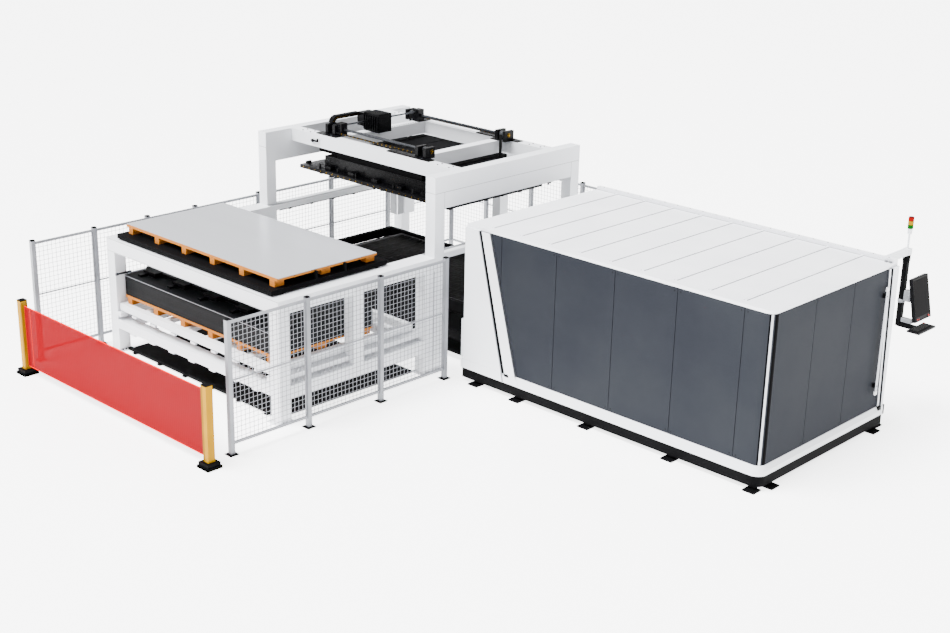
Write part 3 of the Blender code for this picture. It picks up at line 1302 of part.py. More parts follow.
def suction_frame():
    """Flanged ring, two box beams with ties between them, a deck and rows of suction cups."""
    x = about(LOADER_MID, SUCTION_LENGTH)
    mid_y = (CROSS_BEAM_FRONT + CROSS_BEAM_REAR + CROSS_BEAM_WIDTH) * HALF
    y = about(mid_y, CROSS_BEAM_REAR + CROSS_BEAM_WIDTH - CROSS_BEAM_FRONT - SUCTION_INSET)
    flange = span(SUCTION_BOTTOM, SUCTION_FLANGE)
    solids = [
        Box(x, span(y[0], SUCTION_RING), flange),
        Box(x, span(y[1], -SUCTION_RING), flange),
        Box(span(x[0], SUCTION_RING), y, flange),
        Box(span(x[1], -SUCTION_RING), y, flange),
    ]
    lines = shaft_lines()
    beam_z = (SUCTION_BOTTOM + SUCTION_FLANGE * HALF, SUCTION_TOP)
    beams = (
        about(lines["front"] + DRUM_RADIUS, SUCTION_BEAM_WIDTH),
        about(lines["rear"] - DRUM_RADIUS, SUCTION_BEAM_WIDTH),
    )
    beam_x = (x[0] + SUCTION_BEAM_INSET, x[1] - SUCTION_BEAM_INSET)
    solids += [Box(beam_x, beam, beam_z) for beam in beams]
    tie_z = (flange[0], flange[1] + SUCTION_FLANGE)
    middle_x = (x[0] + SUCTION_RING * HALF, x[1] - SUCTION_RING * HALF)
    middle_y = (y[0] + SUCTION_RING * HALF, y[1] - SUCTION_RING * HALF)
    ties = spread(*middle_x, SUCTION_TIES + 2)[1:-1]
    solids += [Box(about(place, SUCTION_RING), middle_y, tie_z) for place in ties]
    solids.append(Box(middle_x, middle_y, span(flange[1], -SUCTION_DECK)))
    columns = [x[0] + CUP_INSET] + ties[::2] + [x[1] - CUP_INSET]
    rows = spread(y[0] + CUP_INSET, y[1] - CUP_INSET, CUP_ROWS)
    for place in columns:
        for row in rows:
            stem = (CUP_BOTTOM + CUP_LIP * HALF, flange[1] - SUCTION_DECK * HALF)
            solids.append(Rod("Z", place, row, stem, CUP_STEM_RADIUS, sides=CUP_SIDES))
            lip = span(CUP_BOTTOM, CUP_LIP)
            solids.append(Rod("Z", place, row, lip, CUP_RADIUS, CUP_STEM_RADIUS, sides=CUP_SIDES))
    make("suction_frame", "black_paint", solids, pivot=(LOADER_MID, mid_y, SUCTION_TOP))


def mesh_panel(low, high, bottom, top, plane, place):
    """Cutters that turn a thin wall into a mesh: a grid of square holes with a wire between them."""
    across = max(1, round((high - low) / MESH_CELL))
    rise = max(1, round((top - bottom) / MESH_CELL))
    wide = (high - low - FENCE_WIRE) / across
    tall = (top - bottom - FENCE_WIRE) / rise
    holes = []
    through = about(place, FENCE_MESH_THICKNESS * 3)
    for column in range(across):
        along = span(low + FENCE_WIRE + column * wide, wide - FENCE_WIRE)
        for row in range(rise):
            up = span(bottom + FENCE_WIRE + row * tall, tall - FENCE_WIRE)
            holes.append(Box(through, along, up) if plane == "X" else Box(along, through, up))
    return holes


def fence(name, plane, place, posts, start=None):
    """Square posts on foot plates, a top, middle and bottom rail, and mesh between them."""
    solids = []
    holes = []

    def bar(along, across, z):
        thick = about(place, across)
        solids.append(Box(thick, along, z) if plane == "X" else Box(along, thick, z))

    tall = (FENCE_FOOT_THICKNESS * HALF, FENCE_HEIGHT)
    rails = [FENCE_GROUND, (FENCE_GROUND + FENCE_HEIGHT) * HALF, FENCE_HEIGHT - FENCE_RAIL * 2]
    for post in posts:
        bar(about(post, FENCE_POST), FENCE_POST, tall)
        bar(about(post, FENCE_FOOT), FENCE_FOOT, (0, FENCE_FOOT_THICKNESS))
    runs = [(one, other, one + FENCE_POST * HALF) for one, other in zip(posts, posts[1:])]
    if start is not None:
        runs.append((start, posts[0], start + FENCE_WIRE))
    for one, other, edge in runs:
        clear = (edge, other - FENCE_POST * HALF)
        along = (one, other)
        for rail in rails:
            bar(along, FENCE_RAIL, span(rail, FENCE_RAIL))
        bar(along, FENCE_MESH_THICKNESS, (rails[0] + FENCE_RAIL * HALF, rails[-1] + FENCE_RAIL * HALF))
        for low, high in zip(rails, rails[1:]):
            holes += mesh_panel(clear[0], clear[1], low + FENCE_RAIL, high, plane, place)
    make(name, "grey_paint", solids, holes)


def fences():
    fence("fence_right", "X", -RIGHT_FENCE_X, [-y for y in RIGHT_FENCE_POSTS])
    fence("fence_left", "X", -LEFT_FENCE_X, [-y for y in LEFT_FENCE_POSTS])
    corner = -LEFT_FENCE_X + FENCE_POST * HALF + SEAT
    fence("fence_back", "Y", -LEFT_FENCE_POSTS[-1], [-x for x in BACK_FENCE_POSTS], corner)


def guard_posts():
    """Light-curtain columns on black feet, with a cap."""
    for side, place in (("left", GUARD_LEFT), ("right", GUARD_RIGHT)):
        foot_z = (0, GUARD_FOOT_THICKNESS)
        base_z = span(GUARD_FOOT_THICKNESS * HALF, GUARD_BASE_THICKNESS + GUARD_FOOT_THICKNESS)
        solids = [
            Box(about(-place, GUARD_FOOT), about(-GUARD_Y, GUARD_FOOT), foot_z),
            Box(about(-place, GUARD_BASE), about(-GUARD_Y, GUARD_BASE), base_z),
            Box(about(-place, GUARD_POST), about(-GUARD_Y, GUARD_POST), (base_z[0], GUARD_HEIGHT)),
        ]
        make(f"guard_post_{side}", "safety_yellow", solids)


def light_field():
    """The guarded plane between the two columns, drawn as a thin plate that they hold."""
    reach = GUARD_POST * HALF + SEAT
    x = (-GUARD_LEFT + reach, -GUARD_RIGHT - reach)
    plate = Box(x, about(-GUARD_Y, FIELD_THICKNESS), (FIELD_BOTTOM, FIELD_TOP))
    make("light_field", "field_red", [plate])


def move_to_origin():
    """The origin is on the floor under the middle of the cell's bounding box."""
    left = -LEFT_FENCE_X - FENCE_FOOT * HALF
    right = -ARM_FROM_END + TRAY_REACH + TRAY_DEPTH
    front = -GUARD_Y - GUARD_FOOT * HALF
    back = -LEFT_FENCE_POSTS[-1] + FENCE_FOOT * HALF
    middle = Vector(((left + right) * HALF, (front + back) * HALF, 0))
    for piece in list(CELL.objects) + list(TOOLS.objects):
        piece.location -= middle


def main():
    clear_scene()
    base_frame()
    skirt_rim()
    front_panels()
    front_inclined_trim()
    corner_post()
    end_panels()
    end_door()
    end_trim_and_cover()
    port_end_cover()
    port_shutter()
    rear_wall()
    roof()
    cabin_frame()
    exchange_frame()
    cutting_pallet("pallet_upper", -TABLE_RIGHT - OVERRUN, UPPER_PALLET_Z)
    cutting_pallet("pallet_lower", -BED_RIGHT - OVERRUN, LOWER_PALLET_Z)
    machine_bed()
    cutting_axes()
    fibre_source()
    console()
    signal_lamps()
    store_frame()
    upper_store()
    lower_store()
    portal_side("portal_side_left", LOADER_X[0], 1, True)
    portal_side("portal_side_right", LOADER_X[1], -1, False)
    portal_rear()
    hoist_frame()
    hoist_stations()
    hoist_shafts()
    cross_shaft()
    hoist_motor()
    energy_chain()
    lift_belts()
    suction_frame()
    fences()
    guard_posts()
    light_field()
    move_to_origin()


main()
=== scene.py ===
"""Looks of the fiber laser cutting cell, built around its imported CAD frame.

Places are written in the cell's own measure, in metres: x is 0 at the cutter's right end and falls
towards the loader, y is 0 at its front panels, z is 0 on the floor. set_down() moves each finished
mesh from there into the frame.
"""

import math

import bmesh
import bpy
from mathutils import Matrix, Vector


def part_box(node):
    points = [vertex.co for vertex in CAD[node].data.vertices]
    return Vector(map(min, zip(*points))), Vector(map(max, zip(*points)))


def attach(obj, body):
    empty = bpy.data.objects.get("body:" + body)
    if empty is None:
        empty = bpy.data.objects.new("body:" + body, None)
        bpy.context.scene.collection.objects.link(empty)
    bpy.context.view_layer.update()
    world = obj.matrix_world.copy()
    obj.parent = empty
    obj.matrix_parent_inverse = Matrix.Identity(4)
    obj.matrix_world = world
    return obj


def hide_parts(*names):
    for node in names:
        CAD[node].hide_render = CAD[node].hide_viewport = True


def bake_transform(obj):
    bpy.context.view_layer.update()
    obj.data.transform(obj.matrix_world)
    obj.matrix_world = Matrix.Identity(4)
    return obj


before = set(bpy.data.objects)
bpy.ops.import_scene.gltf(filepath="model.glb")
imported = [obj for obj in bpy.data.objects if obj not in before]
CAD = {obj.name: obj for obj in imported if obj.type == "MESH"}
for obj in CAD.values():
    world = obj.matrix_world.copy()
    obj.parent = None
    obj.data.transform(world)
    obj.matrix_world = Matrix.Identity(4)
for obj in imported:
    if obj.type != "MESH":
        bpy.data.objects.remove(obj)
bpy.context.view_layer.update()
SHIFT = Vector((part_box("end_panels")[1].x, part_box("front_panels")[0].y, 0))
# The photograph's width in pixels
PHOTO_WIDTH = 950
MM = 0.001


# Materials


def linear(code):
    """An sRGB hex value as the linear colour that a shader takes."""
    parts = [int(code[k : k + 2], 16) / 255 for k in (1, 3, 5)]
    return tuple(p / 12.92 if p <= 0.04045 else ((p + 0.055) / 1.055) ** 2.4 for p in parts) + (1,)


def add(tree, kind, links=None, **settings):
    """One node with its settings, its values and what is plugged into it."""
    made = tree.nodes.new(kind)
    for name, value in settings.items():
        setattr(made, name, value)
    for socket, value in (links or {}).items():
        if isinstance(value, bpy.types.NodeSocket):
            tree.links.new(value, made.inputs[socket])
        else:
            made.inputs[socket].default_value = value
    return made


def new_finish(name, roughness, metallic=0.0, **sockets):
    """A new material with plain values, its tree and its shader."""
    material = bpy.data.materials.new(name)
    material.use_nodes = True
    tree = material.node_tree
    shader = tree.nodes["Principled BSDF"]
    shader.inputs["Roughness"].default_value = roughness
    shader.inputs["Metallic"].default_value = metallic
    for socket, value in sockets.items():
        shader.inputs[socket.replace("_", " ")].default_value = value
    return material, tree, shader


# A grain's depth as a share of its width.
GRAIN_DEPTH = 0.2


def mottled(name, light, dark, patch_mm, grain_mm, rough, bump, metallic=0.0, stretch=(1, 1, 1), **sockets):
    """Two close tones in soft patches, a fine grain in the gloss and a shallow relief of the same grain."""
    material, tree, shader = new_finish(name, rough[0], metallic, **sockets)
    place = add(tree, "ShaderNodeTexCoord").outputs["Object"]
    place = add(tree, "ShaderNodeMapping", {"Vector": place, "Scale": stretch}).outputs["Vector"]
    patch = add(tree, "ShaderNodeTexNoise", {"Vector": place, "Scale": 1 / (patch_mm * MM), "Detail": 4.0})
    tone = add(tree, "ShaderNodeValToRGB", {"Fac": patch.outputs["Fac"]})
    tone.color_ramp.elements[0].position = 0.35
    tone.color_ramp.elements[0].color = linear(dark)
    tone.color_ramp.elements[1].position = 0.65
    tone.color_ramp.elements[1].color = linear(light)
    tree.links.new(tone.outputs["Color"], shader.inputs["Base Color"])
    grain = add(tree, "ShaderNodeTexNoise", {"Vector": place, "Scale": 1 / (grain_mm * MM), "Detail": 3.0})
    gloss = {"Value": grain.outputs["Fac"], "To Min": rough[0], "To Max": rough[1]}
    tree.links.new(add(tree, "ShaderNodeMapRange", gloss).outputs["Result"], shader.inputs["Roughness"])
    relief = {"Height": grain.outputs["Fac"], "Strength": bump, "Distance": grain_mm * MM * GRAIN_DEPTH}
    tree.links.new(add(tree, "ShaderNodeBump", relief).outputs["Normal"], shader.inputs["Normal"])
    return material


# The render's tone curve holds highlights back, so the light is strong and the dark finishes are entered
# darker, and with less mirror, than a swatch of them would read. Each finish has a tone patch and a
# grain in millimetres. The grains are coarser than the real ones, so that they still show at this distance.

# Polyester powder coat: satin, with a fine orange peel. The roof's is a little lighter and duller.
white_powder_coat = mottled("white_powder_coat", "#DDDFE3", "#D8DADE", 900, 6, (0.30, 0.42), 0.10)
roof_powder_coat = mottled("roof_powder_coat", "#E8E9ED", "#E0E1E6", 700, 8, (0.35, 0.50), 0.08)
# Baked lacquer on folded steel: satin, with a fine grain in the gloss.
graphite_lacquer = mottled(
    "graphite_lacquer", "#26282C", "#212328", 1200, 5, (0.30, 0.42), 0.05, Specular_IOR_Level=0.01
)
# High-gloss acrylic over black: deep and smooth. The bright upright line on it is a painted highlight.
piano_black_acrylic = mottled(
    "piano_black_acrylic", "#050506", "#030304", 600, 20, (0.10, 0.16), 0.02, Specular_IOR_Level=0.01
)
# Anodised aluminium: satin silver, with a drawn grain along the profile.
satin_anodised_aluminium = mottled(
    "satin_anodised_aluminium", "#8F9197", "#7E8086", 500, 5, (0.24, 0.36), 0.05, 0.85, (1, 1, 0.05)
)
# Black textured powder coat: dull, with a coarse sand relief.
black_texture_coat = mottled(
    "black_texture_coat", "#070708", "#040405", 300, 5, (0.55, 0.75), 0.25, Specular_IOR_Level=0.03
)
# Sprayed gloss enamel on the hoist: black, with soft highlights.
black_gloss_enamel = mottled(
    "black_gloss_enamel", "#0A0A0C", "#050506", 400, 12, (0.22, 0.34), 0.06, Specular_IOR_Level=0.07
)
# Mill scale on laser-cut slats: dark, with brown burnt patches.
scaled_cut_steel = mottled("scaled_cut_steel", "#19191B", "#120F0D", 90, 6, (0.38, 0.60), 0.30, 0.5)
# Turned steel shafts and bolts: grey metal, with a fine tool grain.
turned_steel = mottled("turned_steel", "#54565A", "#44464A", 60, 4, (0.22, 0.34), 0.08, 1.0)
# Brushed stainless steel: bright, with long fine lines up the handle.
brushed_stainless = mottled(
    "brushed_stainless", "#96989C", "#838589", 200, 4, (0.20, 0.34), 0.08, 1.0, (1, 1, 0.06)
)
# Cold-rolled sheet: bright and even, with a faint grain along its length. It also paints the highlight on the
# corner post.
cold_rolled_sheet = mottled(
    "cold_rolled_sheet", "#B6B8BC", "#A8AAAF", 1600, 5, (0.16, 0.26), 0.02, 0.40, (0.05, 1, 1)
)
# Grey machine paint: an even satin grey, with a slight orange peel.
grey_machine_paint = mottled("grey_machine_paint", "#77797D", "#6D6F73", 500, 6, (0.36, 0.48), 0.10)
# Zinc-silver powder coat on the fences.
silver_fence_coat = mottled("silver_fence_coat", "#7E8085", "#707277", 250, 5, (0.34, 0.46), 0.12, 0.15)
# Safety yellow enamel: even, warm and satin. The deep one lines the curtain's lenses.
yellow_enamel = mottled(
    "yellow_enamel", "#A27600", "#986E00", 350, 7, (0.26, 0.36), 0.06, Specular_IOR_Level=0.03
)
yellow_enamel_deep = mottled(
    "yellow_enamel_deep", "#805C00", "#765400", 350, 7, (0.26, 0.36), 0.06, Specular_IOR_Level=0.03
)
# Brass-coloured chain pins and sprocket teeth, oiled.
oiled_brass = mottled("oiled_brass", "#8C6A14", "#6E500C", 30, 4, (0.20, 0.34), 0.05, 1.0)
# Moulded rubber belts: dull black, with a faint grain.
moulded_rubber = mottled(
    "moulded_rubber", "#0A0A0A", "#060606", 120, 4, (0.65, 0.82), 0.20, Specular_IOR_Level=0.1
)
# Moulded ABS: satin, with a fine even texture. Black for housings and caps, red for buttons.
black_abs = mottled("black_abs", "#08080A", "#050506", 150, 3, (0.38, 0.50), 0.15, Specular_IOR_Level=0.05)
red_abs = mottled("red_abs", "#A80C06", "#960804", 40, 3, (0.28, 0.38), 0.05, Specular_IOR_Level=0.2)
# Screen glass over a dark panel: nearly black and smooth.
screen_glass = mottled(
    "screen_glass", "#0A0808", "#040405", 260, 40, (0.10, 0.16), 0.01, Specular_IOR_Level=0.01
)


def lit_lens(name, light, dark, glow, strength):
    """Tinted polycarbonate, lit from inside: a full even colour with hardly any mirror."""
    shine = {"Emission_Strength": strength, "Specular_IOR_Level": 0.02}
    material = mottled(name, light, dark, 30, 3, (0.3, 0.4), 0.03, **shine)
    material.node_tree.nodes["Principled BSDF"].inputs["Emission Color"].default_value = linear(glow)
    return material


lens_red = lit_lens("lens_red", "#7C0000", "#720000", "#FF0000", 0.15)
lens_amber = lit_lens("lens_amber", "#8C6C00", "#806200", "#FFB400", 0.15)
lens_green = lit_lens("lens_green", "#004C0C", "#00440A", "#00B020", 0.06)


def stained_wood():
    """Planed softwood with an orange stain: long growth lines and a few darker boards."""
    material, tree, shader = new_finish("stained_softwood", 0.6, Specular_IOR_Level=0.2)
    place = add(tree, "ShaderNodeTexCoord").outputs["Object"]
    along = add(tree, "ShaderNodeMapping", {"Vector": place, "Scale": (0.08, 1, 1)}).outputs["Vector"]
    lines = add(tree, "ShaderNodeTexWave", {"Vector": along, "Scale": 22.0, "Distortion": 7.0, "Detail": 3.0})
    lines.bands_direction = "Z"
    fibre = add(tree, "ShaderNodeTexNoise", {"Vector": along, "Scale": 60.0, "Detail": 5.0})
    both = {0: lines.outputs["Fac"], 1: fibre.outputs["Fac"]}
    mixed = add(tree, "ShaderNodeMath", both, operation="MULTIPLY")
    tone = add(tree, "ShaderNodeValToRGB", {"Fac": mixed.outputs["Value"]})
    tone.color_ramp.elements[0].color = linear("#B06C1C")
    tone.color_ramp.elements[1].color = linear("#86480C")
    tone.color_ramp.elements[1].position = 0.75
    tree.links.new(tone.outputs["Color"], shader.inputs["Base Color"])
    relief = {"Height": mixed.outputs["Value"], "Strength": 0.25, "Distance": 0.002}
    tree.links.new(add(tree, "ShaderNodeBump", relief).outputs["Normal"], shader.inputs["Normal"])
    return material


def stacked_sheets():
    """Edges of hot-rolled sheets in a pile: fine level lines, each sheet a little lighter or darker."""
    material, tree, shader = new_finish("stacked_hot_rolled_sheets", 0.55, Specular_IOR_Level=0.05)
    place = add(tree, "ShaderNodeTexCoord").outputs["Object"]
    parts = add(tree, "ShaderNodeSeparateXYZ", {"Vector": place})
    # Each line stands for several 1 mm sheets, so that it still shows at this distance.
    line_height = 0.009
    count = add(tree, "ShaderNodeMath", {0: parts.outputs["Z"], 1: 1 / line_height}, operation="MULTIPLY")
    whole = add(tree, "ShaderNodeMath", {0: count.outputs["Value"]}, operation="FLOOR")
    shade = add(tree, "ShaderNodeTexWhiteNoise", {"W": whole.outputs["Value"]}, noise_dimensions="1D")
    tone = add(tree, "ShaderNodeValToRGB", {"Fac": shade.outputs["Value"]})
    tone.color_ramp.elements[0].color = linear("#08090A")
    tone.color_ramp.elements[1].color = linear("#131416")
    tree.links.new(tone.outputs["Color"], shader.inputs["Base Color"])
    edge = add(tree, "ShaderNodeMath", {0: count.outputs["Value"], 1: 1.0}, operation="FRACT")
    relief = {"Height": edge.outputs["Value"], "Strength": 0.4, "Distance": 0.002}
    tree.links.new(add(tree, "ShaderNodeBump", relief).outputs["Normal"], shader.inputs["Normal"])
    return material


def light_field(name, code, opacity, stripe_mm):
    """The guarded plane as glowing red film with fine upright stripes."""
    shine = {"Alpha": opacity, "Emission_Strength": 0.35, "Specular_IOR_Level": 0.0}
    material, tree, shader = new_finish(name, 0.5, **shine)
    shader.inputs["Base Color"].default_value = linear(code)
    shader.inputs["Emission Color"].default_value = linear(code)
    place = add(tree, "ShaderNodeTexCoord").outputs["Object"]
    parts = add(tree, "ShaderNodeSeparateXYZ", {"Vector": place})
    rate = math.tau / (stripe_mm * MM)
    turns = add(tree, "ShaderNodeMath", {0: parts.outputs["X"], 1: rate}, operation="MULTIPLY")
    wave = add(tree, "ShaderNodeMath", {0: turns.outputs["Value"]}, operation="SINE")
    swing = 0.05
    span = {
        "Value": wave.outputs["Value"],
        "From Min": -1.0,
        "From Max": 1.0,
        "To Min": opacity - swing,
        "To Max": opacity + swing,
    }
    tree.links.new(add(tree, "ShaderNodeMapRange", span).outputs["Result"], shader.inputs["Alpha"])
    return material


stained_softwood = stained_wood()
stacked_hot_rolled_sheets = stacked_sheets()
red_light_film = light_field("red_light_film", "#70060F", 0.92, 36)
red_light_border = light_field("red_light_border", "#D00000", 0.95, 500)


# Shapes


def box(bm, x, y, z):
    """A block between two places along each axis."""
    spans = [sorted(pair) for pair in (x, y, z)]
    centre = Vector([(low + high) / 2 for low, high in spans])
    size = [high - low for low, high in spans]
    bmesh.ops.create_cube(bm, size=1, matrix=Matrix.Translation(centre) @ Matrix.Diagonal(size).to_4x4())


def rod(bm, axis, a, b, reach, radius, sides=12, end=None):
    """A round bar along an axis, at a and b on the other two. With an end radius it tapers."""
    low, high = sorted(reach)
    middle = (low + high) / 2
    turn = {
        "X": Matrix.Rotation(math.pi / 2, 4, "Y"),
        "Y": Matrix.Rotation(-math.pi / 2, 4, "X"),
        "Z": Matrix.Identity(4),
    }[axis]
    spot = {"X": (middle, a, b), "Y": (a, middle, b), "Z": (a, b, middle)}[axis]
    place = Matrix.Translation(spot) @ turn
    end = radius if end is None else end
    bmesh.ops.create_cone(
        bm, cap_ends=True, segments=sides, radius1=radius, radius2=end, depth=high - low, matrix=place
    )


def about(middle, size):
    """The two ends of a size that is set evenly about its middle."""
    return (middle - size / 2, middle + size / 2)


def spread(low, high, count):
    """Evenly spaced places, both ends included."""
    return [low + (high - low) * k / (count - 1) for k in range(count)]


def soften(bm, width, steps=1):
    """Takes the sharpness off every edge made so far."""
    bmesh.ops.bevel(
        bm, geom=bm.edges[:], offset=width, segments=steps, profile=0.5, affect="EDGES", material=-1
    )


def set_down(name, bm, material, body="cell", place=None):
    """The finished piece in the frame's place, riding on its body. A piece that is blended has no body."""
    if place is not None:
        bm.transform(place)
    bm.transform(Matrix.Translation(SHIFT))
    mesh = bpy.data.meshes.new(name)
    bm.to_mesh(mesh)
    bm.free()
    piece = bpy.data.objects.new(name, mesh)
    bpy.context.scene.collection.objects.link(piece)
    mesh.materials.append(material)
    if body:
        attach(piece, body)
    return piece


def repaint(material, *names):
    """Gives CAD nodes their finish."""
    for name in names:
        CAD[name].data.materials.clear()
        CAD[name].data.materials.append(material)


repaint(white_powder_coat, "skirt_rim", "port_end_cover", "rear_corner_cover", "rear_wall", "console_arm")
repaint(white_powder_coat, "store_frame", "lower_trolley", "portal_side_left", "portal_side_right")
repaint(white_powder_coat, "portal_rear_frame", "hoist_frame")
repaint(roof_powder_coat, "roof")
repaint(graphite_lacquer, "front_panels", "end_panels", "end_door", "head_carriage")
repaint(piano_black_acrylic, "corner_post")
repaint(satin_anodised_aluminium, "front_inclined_trim", "end_inclined_trim")
repaint(black_texture_coat, "base_frame", "cabin_frame", "exchange_frame", "console_post", "upper_trolley")
repaint(black_gloss_enamel, "suction_frame", "hoist_motor")
repaint(black_gloss_enamel, "hoist_station_front_left", "hoist_station_front_right")
repaint(black_gloss_enamel, "hoist_station_rear_left", "hoist_station_rear_right")
repaint(black_abs, "energy_chain", "monitor", "keyboard_tray")
repaint(red_abs, "stop_button")
repaint(scaled_cut_steel, "pallet_upper", "pallet_lower")
repaint(turned_steel, "hoist_shaft_front", "hoist_shaft_rear", "hoist_cross_shaft")
repaint(brushed_stainless, "cutting_head")
repaint(cold_rolled_sheet, "upper_sheet")
repaint(stacked_hot_rolled_sheets, "sheet_stack")
repaint(stained_softwood, "upper_wood_pallet", "lower_wood_pallet")
repaint(grey_machine_paint, "bridge_beam", "machine_bed", "fibre_source", "port_shutter")
repaint(yellow_enamel, "guard_post_left", "guard_post_right")


# Fences

FENCE_HEIGHT = 1.606
POST = 0.055
POST_CAP = 0.012
FOOT_PLATE = 0.115
RAIL = 0.028
MIDDLE_RAIL_Z = 0.88
MESH_PITCH = 0.060
MESH_ROWS = 25
MESH_Z = (0.13, FENCE_HEIGHT - 0.05)
WIRE = 0.004


def fence(name, plane, place, posts, start=None):
    """Square posts with caps and foot plates, three rails, and welded mesh of 60 mm pitch."""
    frame_bm = bmesh.new()
    mesh_bm = bmesh.new()
    foot_bm = bmesh.new()

    def bar(bm, along, across, z):
        if plane == "X":
            box(bm, about(place, across), along, z)
        else:
            box(bm, along, about(place, across), z)

    for post in posts:
        bar(frame_bm, about(post, POST), POST, (0.008, FENCE_HEIGHT - POST_CAP))
        bar(foot_bm, about(post, POST), POST, (FENCE_HEIGHT - POST_CAP, FENCE_HEIGHT))
        bar(foot_bm, about(post, FOOT_PLATE), FOOT_PLATE, (0, 0.010))
        for shift in (-0.042, 0.042):
            spot = (place, post + shift) if plane == "X" else (post + shift, place)
            rod(foot_bm, "Z", spot[0], spot[1], (0.008, 0.024), 0.009, 6)
    ends = [(a + POST / 2, b - POST / 2) for a, b in zip(posts, posts[1:])]
    if start is not None:
        ends.append((start, posts[0] - POST / 2))
    for low, high in ends:
        for z in (0.120, FENCE_HEIGHT - 0.060):
            bar(frame_bm, (low, high), RAIL, (z, z + RAIL))
        bar(frame_bm, (low, high), 0.016, about(MIDDLE_RAIL_Z, 0.014))
        for edge in (low + 0.007, high - 0.007):
            bar(frame_bm, about(edge, 0.014), 0.020, (0.12, FENCE_HEIGHT - 0.04))
        columns = max(2, round((high - low) / MESH_PITCH))
        for along in spread(low, high, columns + 1)[1:-1]:
            bar(mesh_bm, about(along, WIRE), WIRE, MESH_Z)
        for z in spread(*MESH_Z, MESH_ROWS)[1:-1]:
            bar(mesh_bm, (low, high), WIRE, about(z, WIRE))
    framed = set_down(name + "_tubes", frame_bm, silver_fence_coat)
    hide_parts(name)
    set_down(name + "_mesh", mesh_bm, silver_fence_coat)
    set_down(name + "_feet", foot_bm, black_texture_coat)


RIGHT_POSTS = [-3.483, -2.369, -1.237, -0.150]
LEFT_POSTS = [-3.495, -2.605, -1.790, -1.020, 0.070, 1.420, 2.560, 3.960]
BACK_POSTS = [-7.813, -6.880, -5.873, -4.700]
fence("fence_right", "X", -4.610, RIGHT_POSTS)
fence("fence_left", "X", -8.580, LEFT_POSTS)
fence("fence_back", "Y", 3.960, BACK_POSTS, -8.550)


# Light curtain

CURTAIN_Y = -3.860
FILM_X = (-8.244, -4.556)
for side, place, inward in (("left", -8.290, 1), ("right", -4.510, -1)):
    edge = bmesh.new()
    box(edge, (place + inward * 0.016, place + inward * 0.0455), about(CURTAIN_Y, 0.0915), (0.048, 0.955))
    set_down("guard_lens_edge_" + side, edge, yellow_enamel_deep)
    caps = bmesh.new()
    box(caps, about(place, 0.092), about(CURTAIN_Y, 0.092), (0.968, 0.980))
    box(caps, about(place, 0.200), about(CURTAIN_Y, 0.200), (0, 0.031))
    rod(caps, "Z", place, CURTAIN_Y, (0.028, 0.060), 0.074, 20, 0.060)
    box(caps, about(place, 0.172), about(CURTAIN_Y, 0.172), (0.029, 0.072))
    for turn in (-1, 1):
        for other in (-1, 1):
            rod(caps, "Z", place + turn * 0.078, CURTAIN_Y + other * 0.078, (0.028, 0.046), 0.011, 6)
    set_down("guard_base_" + side, caps, black_texture_coat)

film = bmesh.new()
box(film, FILM_X, about(CURTAIN_Y, 0.004), (0.120, 0.905))
film = set_down("light_field_film", film, red_light_film)
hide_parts("light_field")
rim = bmesh.new()
for z in ((0.112, 0.124), (0.900, 0.912)):
    box(rim, FILM_X, about(CURTAIN_Y, 0.006), z)
for x in ((-8.244, -8.236), (-8.118, -8.112), (-4.564, -4.556)):
    box(rim, x, about(CURTAIN_Y, 0.006), (0.112, 0.912))
set_down("light_field_border", rim, red_light_border)


# Signal lamps

# The console's boom reaches out to this place, which the lamps and the upright post share.
BOOM_X, BOOM_Y = -0.190, 3.105
CABINET_TOP, SIGNAL_POLE = 2.058, 0.240
LAMP_FOOT = CABINET_TOP + SIGNAL_POLE + 0.0043
LAMP_STEP = 0.047
LENS_RADIUS, RIB_RADIUS, RING_RADIUS = 0.033, 0.034, 0.029
for level, lens, label in ((0, lens_green, "green"), (1, lens_amber, "amber"), (2, lens_red, "red")):
    bm = bmesh.new()
    start = LAMP_FOOT + level * LAMP_STEP
    rod(bm, "Z", BOOM_X, BOOM_Y, (start, start + 0.044), LENS_RADIUS, 24)
    for rib in range(4):
        rod(bm, "Z", BOOM_X, BOOM_Y, about(start + 0.009 + rib * 0.008, 0.003), RIB_RADIUS, 24)
    lamp = set_down("signal_lens_" + label, bm, lens)
    if label == "green":
        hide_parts("signal_lamps")
bm = bmesh.new()
for level in range(3):
    start = LAMP_FOOT + level * LAMP_STEP
    rod(bm, "Z", BOOM_X, BOOM_Y, (start + 0.043, start + 0.048), RING_RADIUS, 24)
set_down("signal_lamp_rings", bm, black_abs)


# Cabinet


def studs(name, material, axis, spots, reach, radius, body="cell", sides=8):
    """A row of small round heads that all point the same way."""
    bm = bmesh.new()
    for a, b in spots:
        rod(bm, axis, a, b, reach, radius, sides)
    set_down(name, bm, material, body)


def leaning(bm, low_x, high_x, y, z):
    """A strip on the front whose lower and upper ends have their own places along x."""
    made = bmesh.ops.create_cube(bm, size=1)["verts"]
    for vert in made:
        side = 1 if vert.co.x > 0 else 0
        place = high_x if vert.co.z > 0 else low_x
        vert.co = (place[side], y[1] if vert.co.y > 0 else y[0], z[1] if vert.co.z > 0 else z[0])


def leaning_end(bm, low_y, high_y, x, z):
    """The same with its places along y, as on the end face and on the slats' teeth."""
    made = bmesh.ops.create_cube(bm, size=1)["verts"]
    for vert in made:
        side = 1 if vert.co.y > 0 else 0
        place = high_y if vert.co.z > 0 else low_y
        vert.co = (x[1] if vert.co.x > 0 else x[0], place[side], z[1] if vert.co.z > 0 else z[0])


FRONT_JOINTS = (-0.352, -1.219, -2.086, -2.953)
END_JOINTS = (0.836, 1.619)
SCREW_Z = (0.335, 1.975)
PANEL_Z = (0.2960, 2.0140)
RIM_Z = (0.180, 0.2952)
RIM_LEFT = -4.434


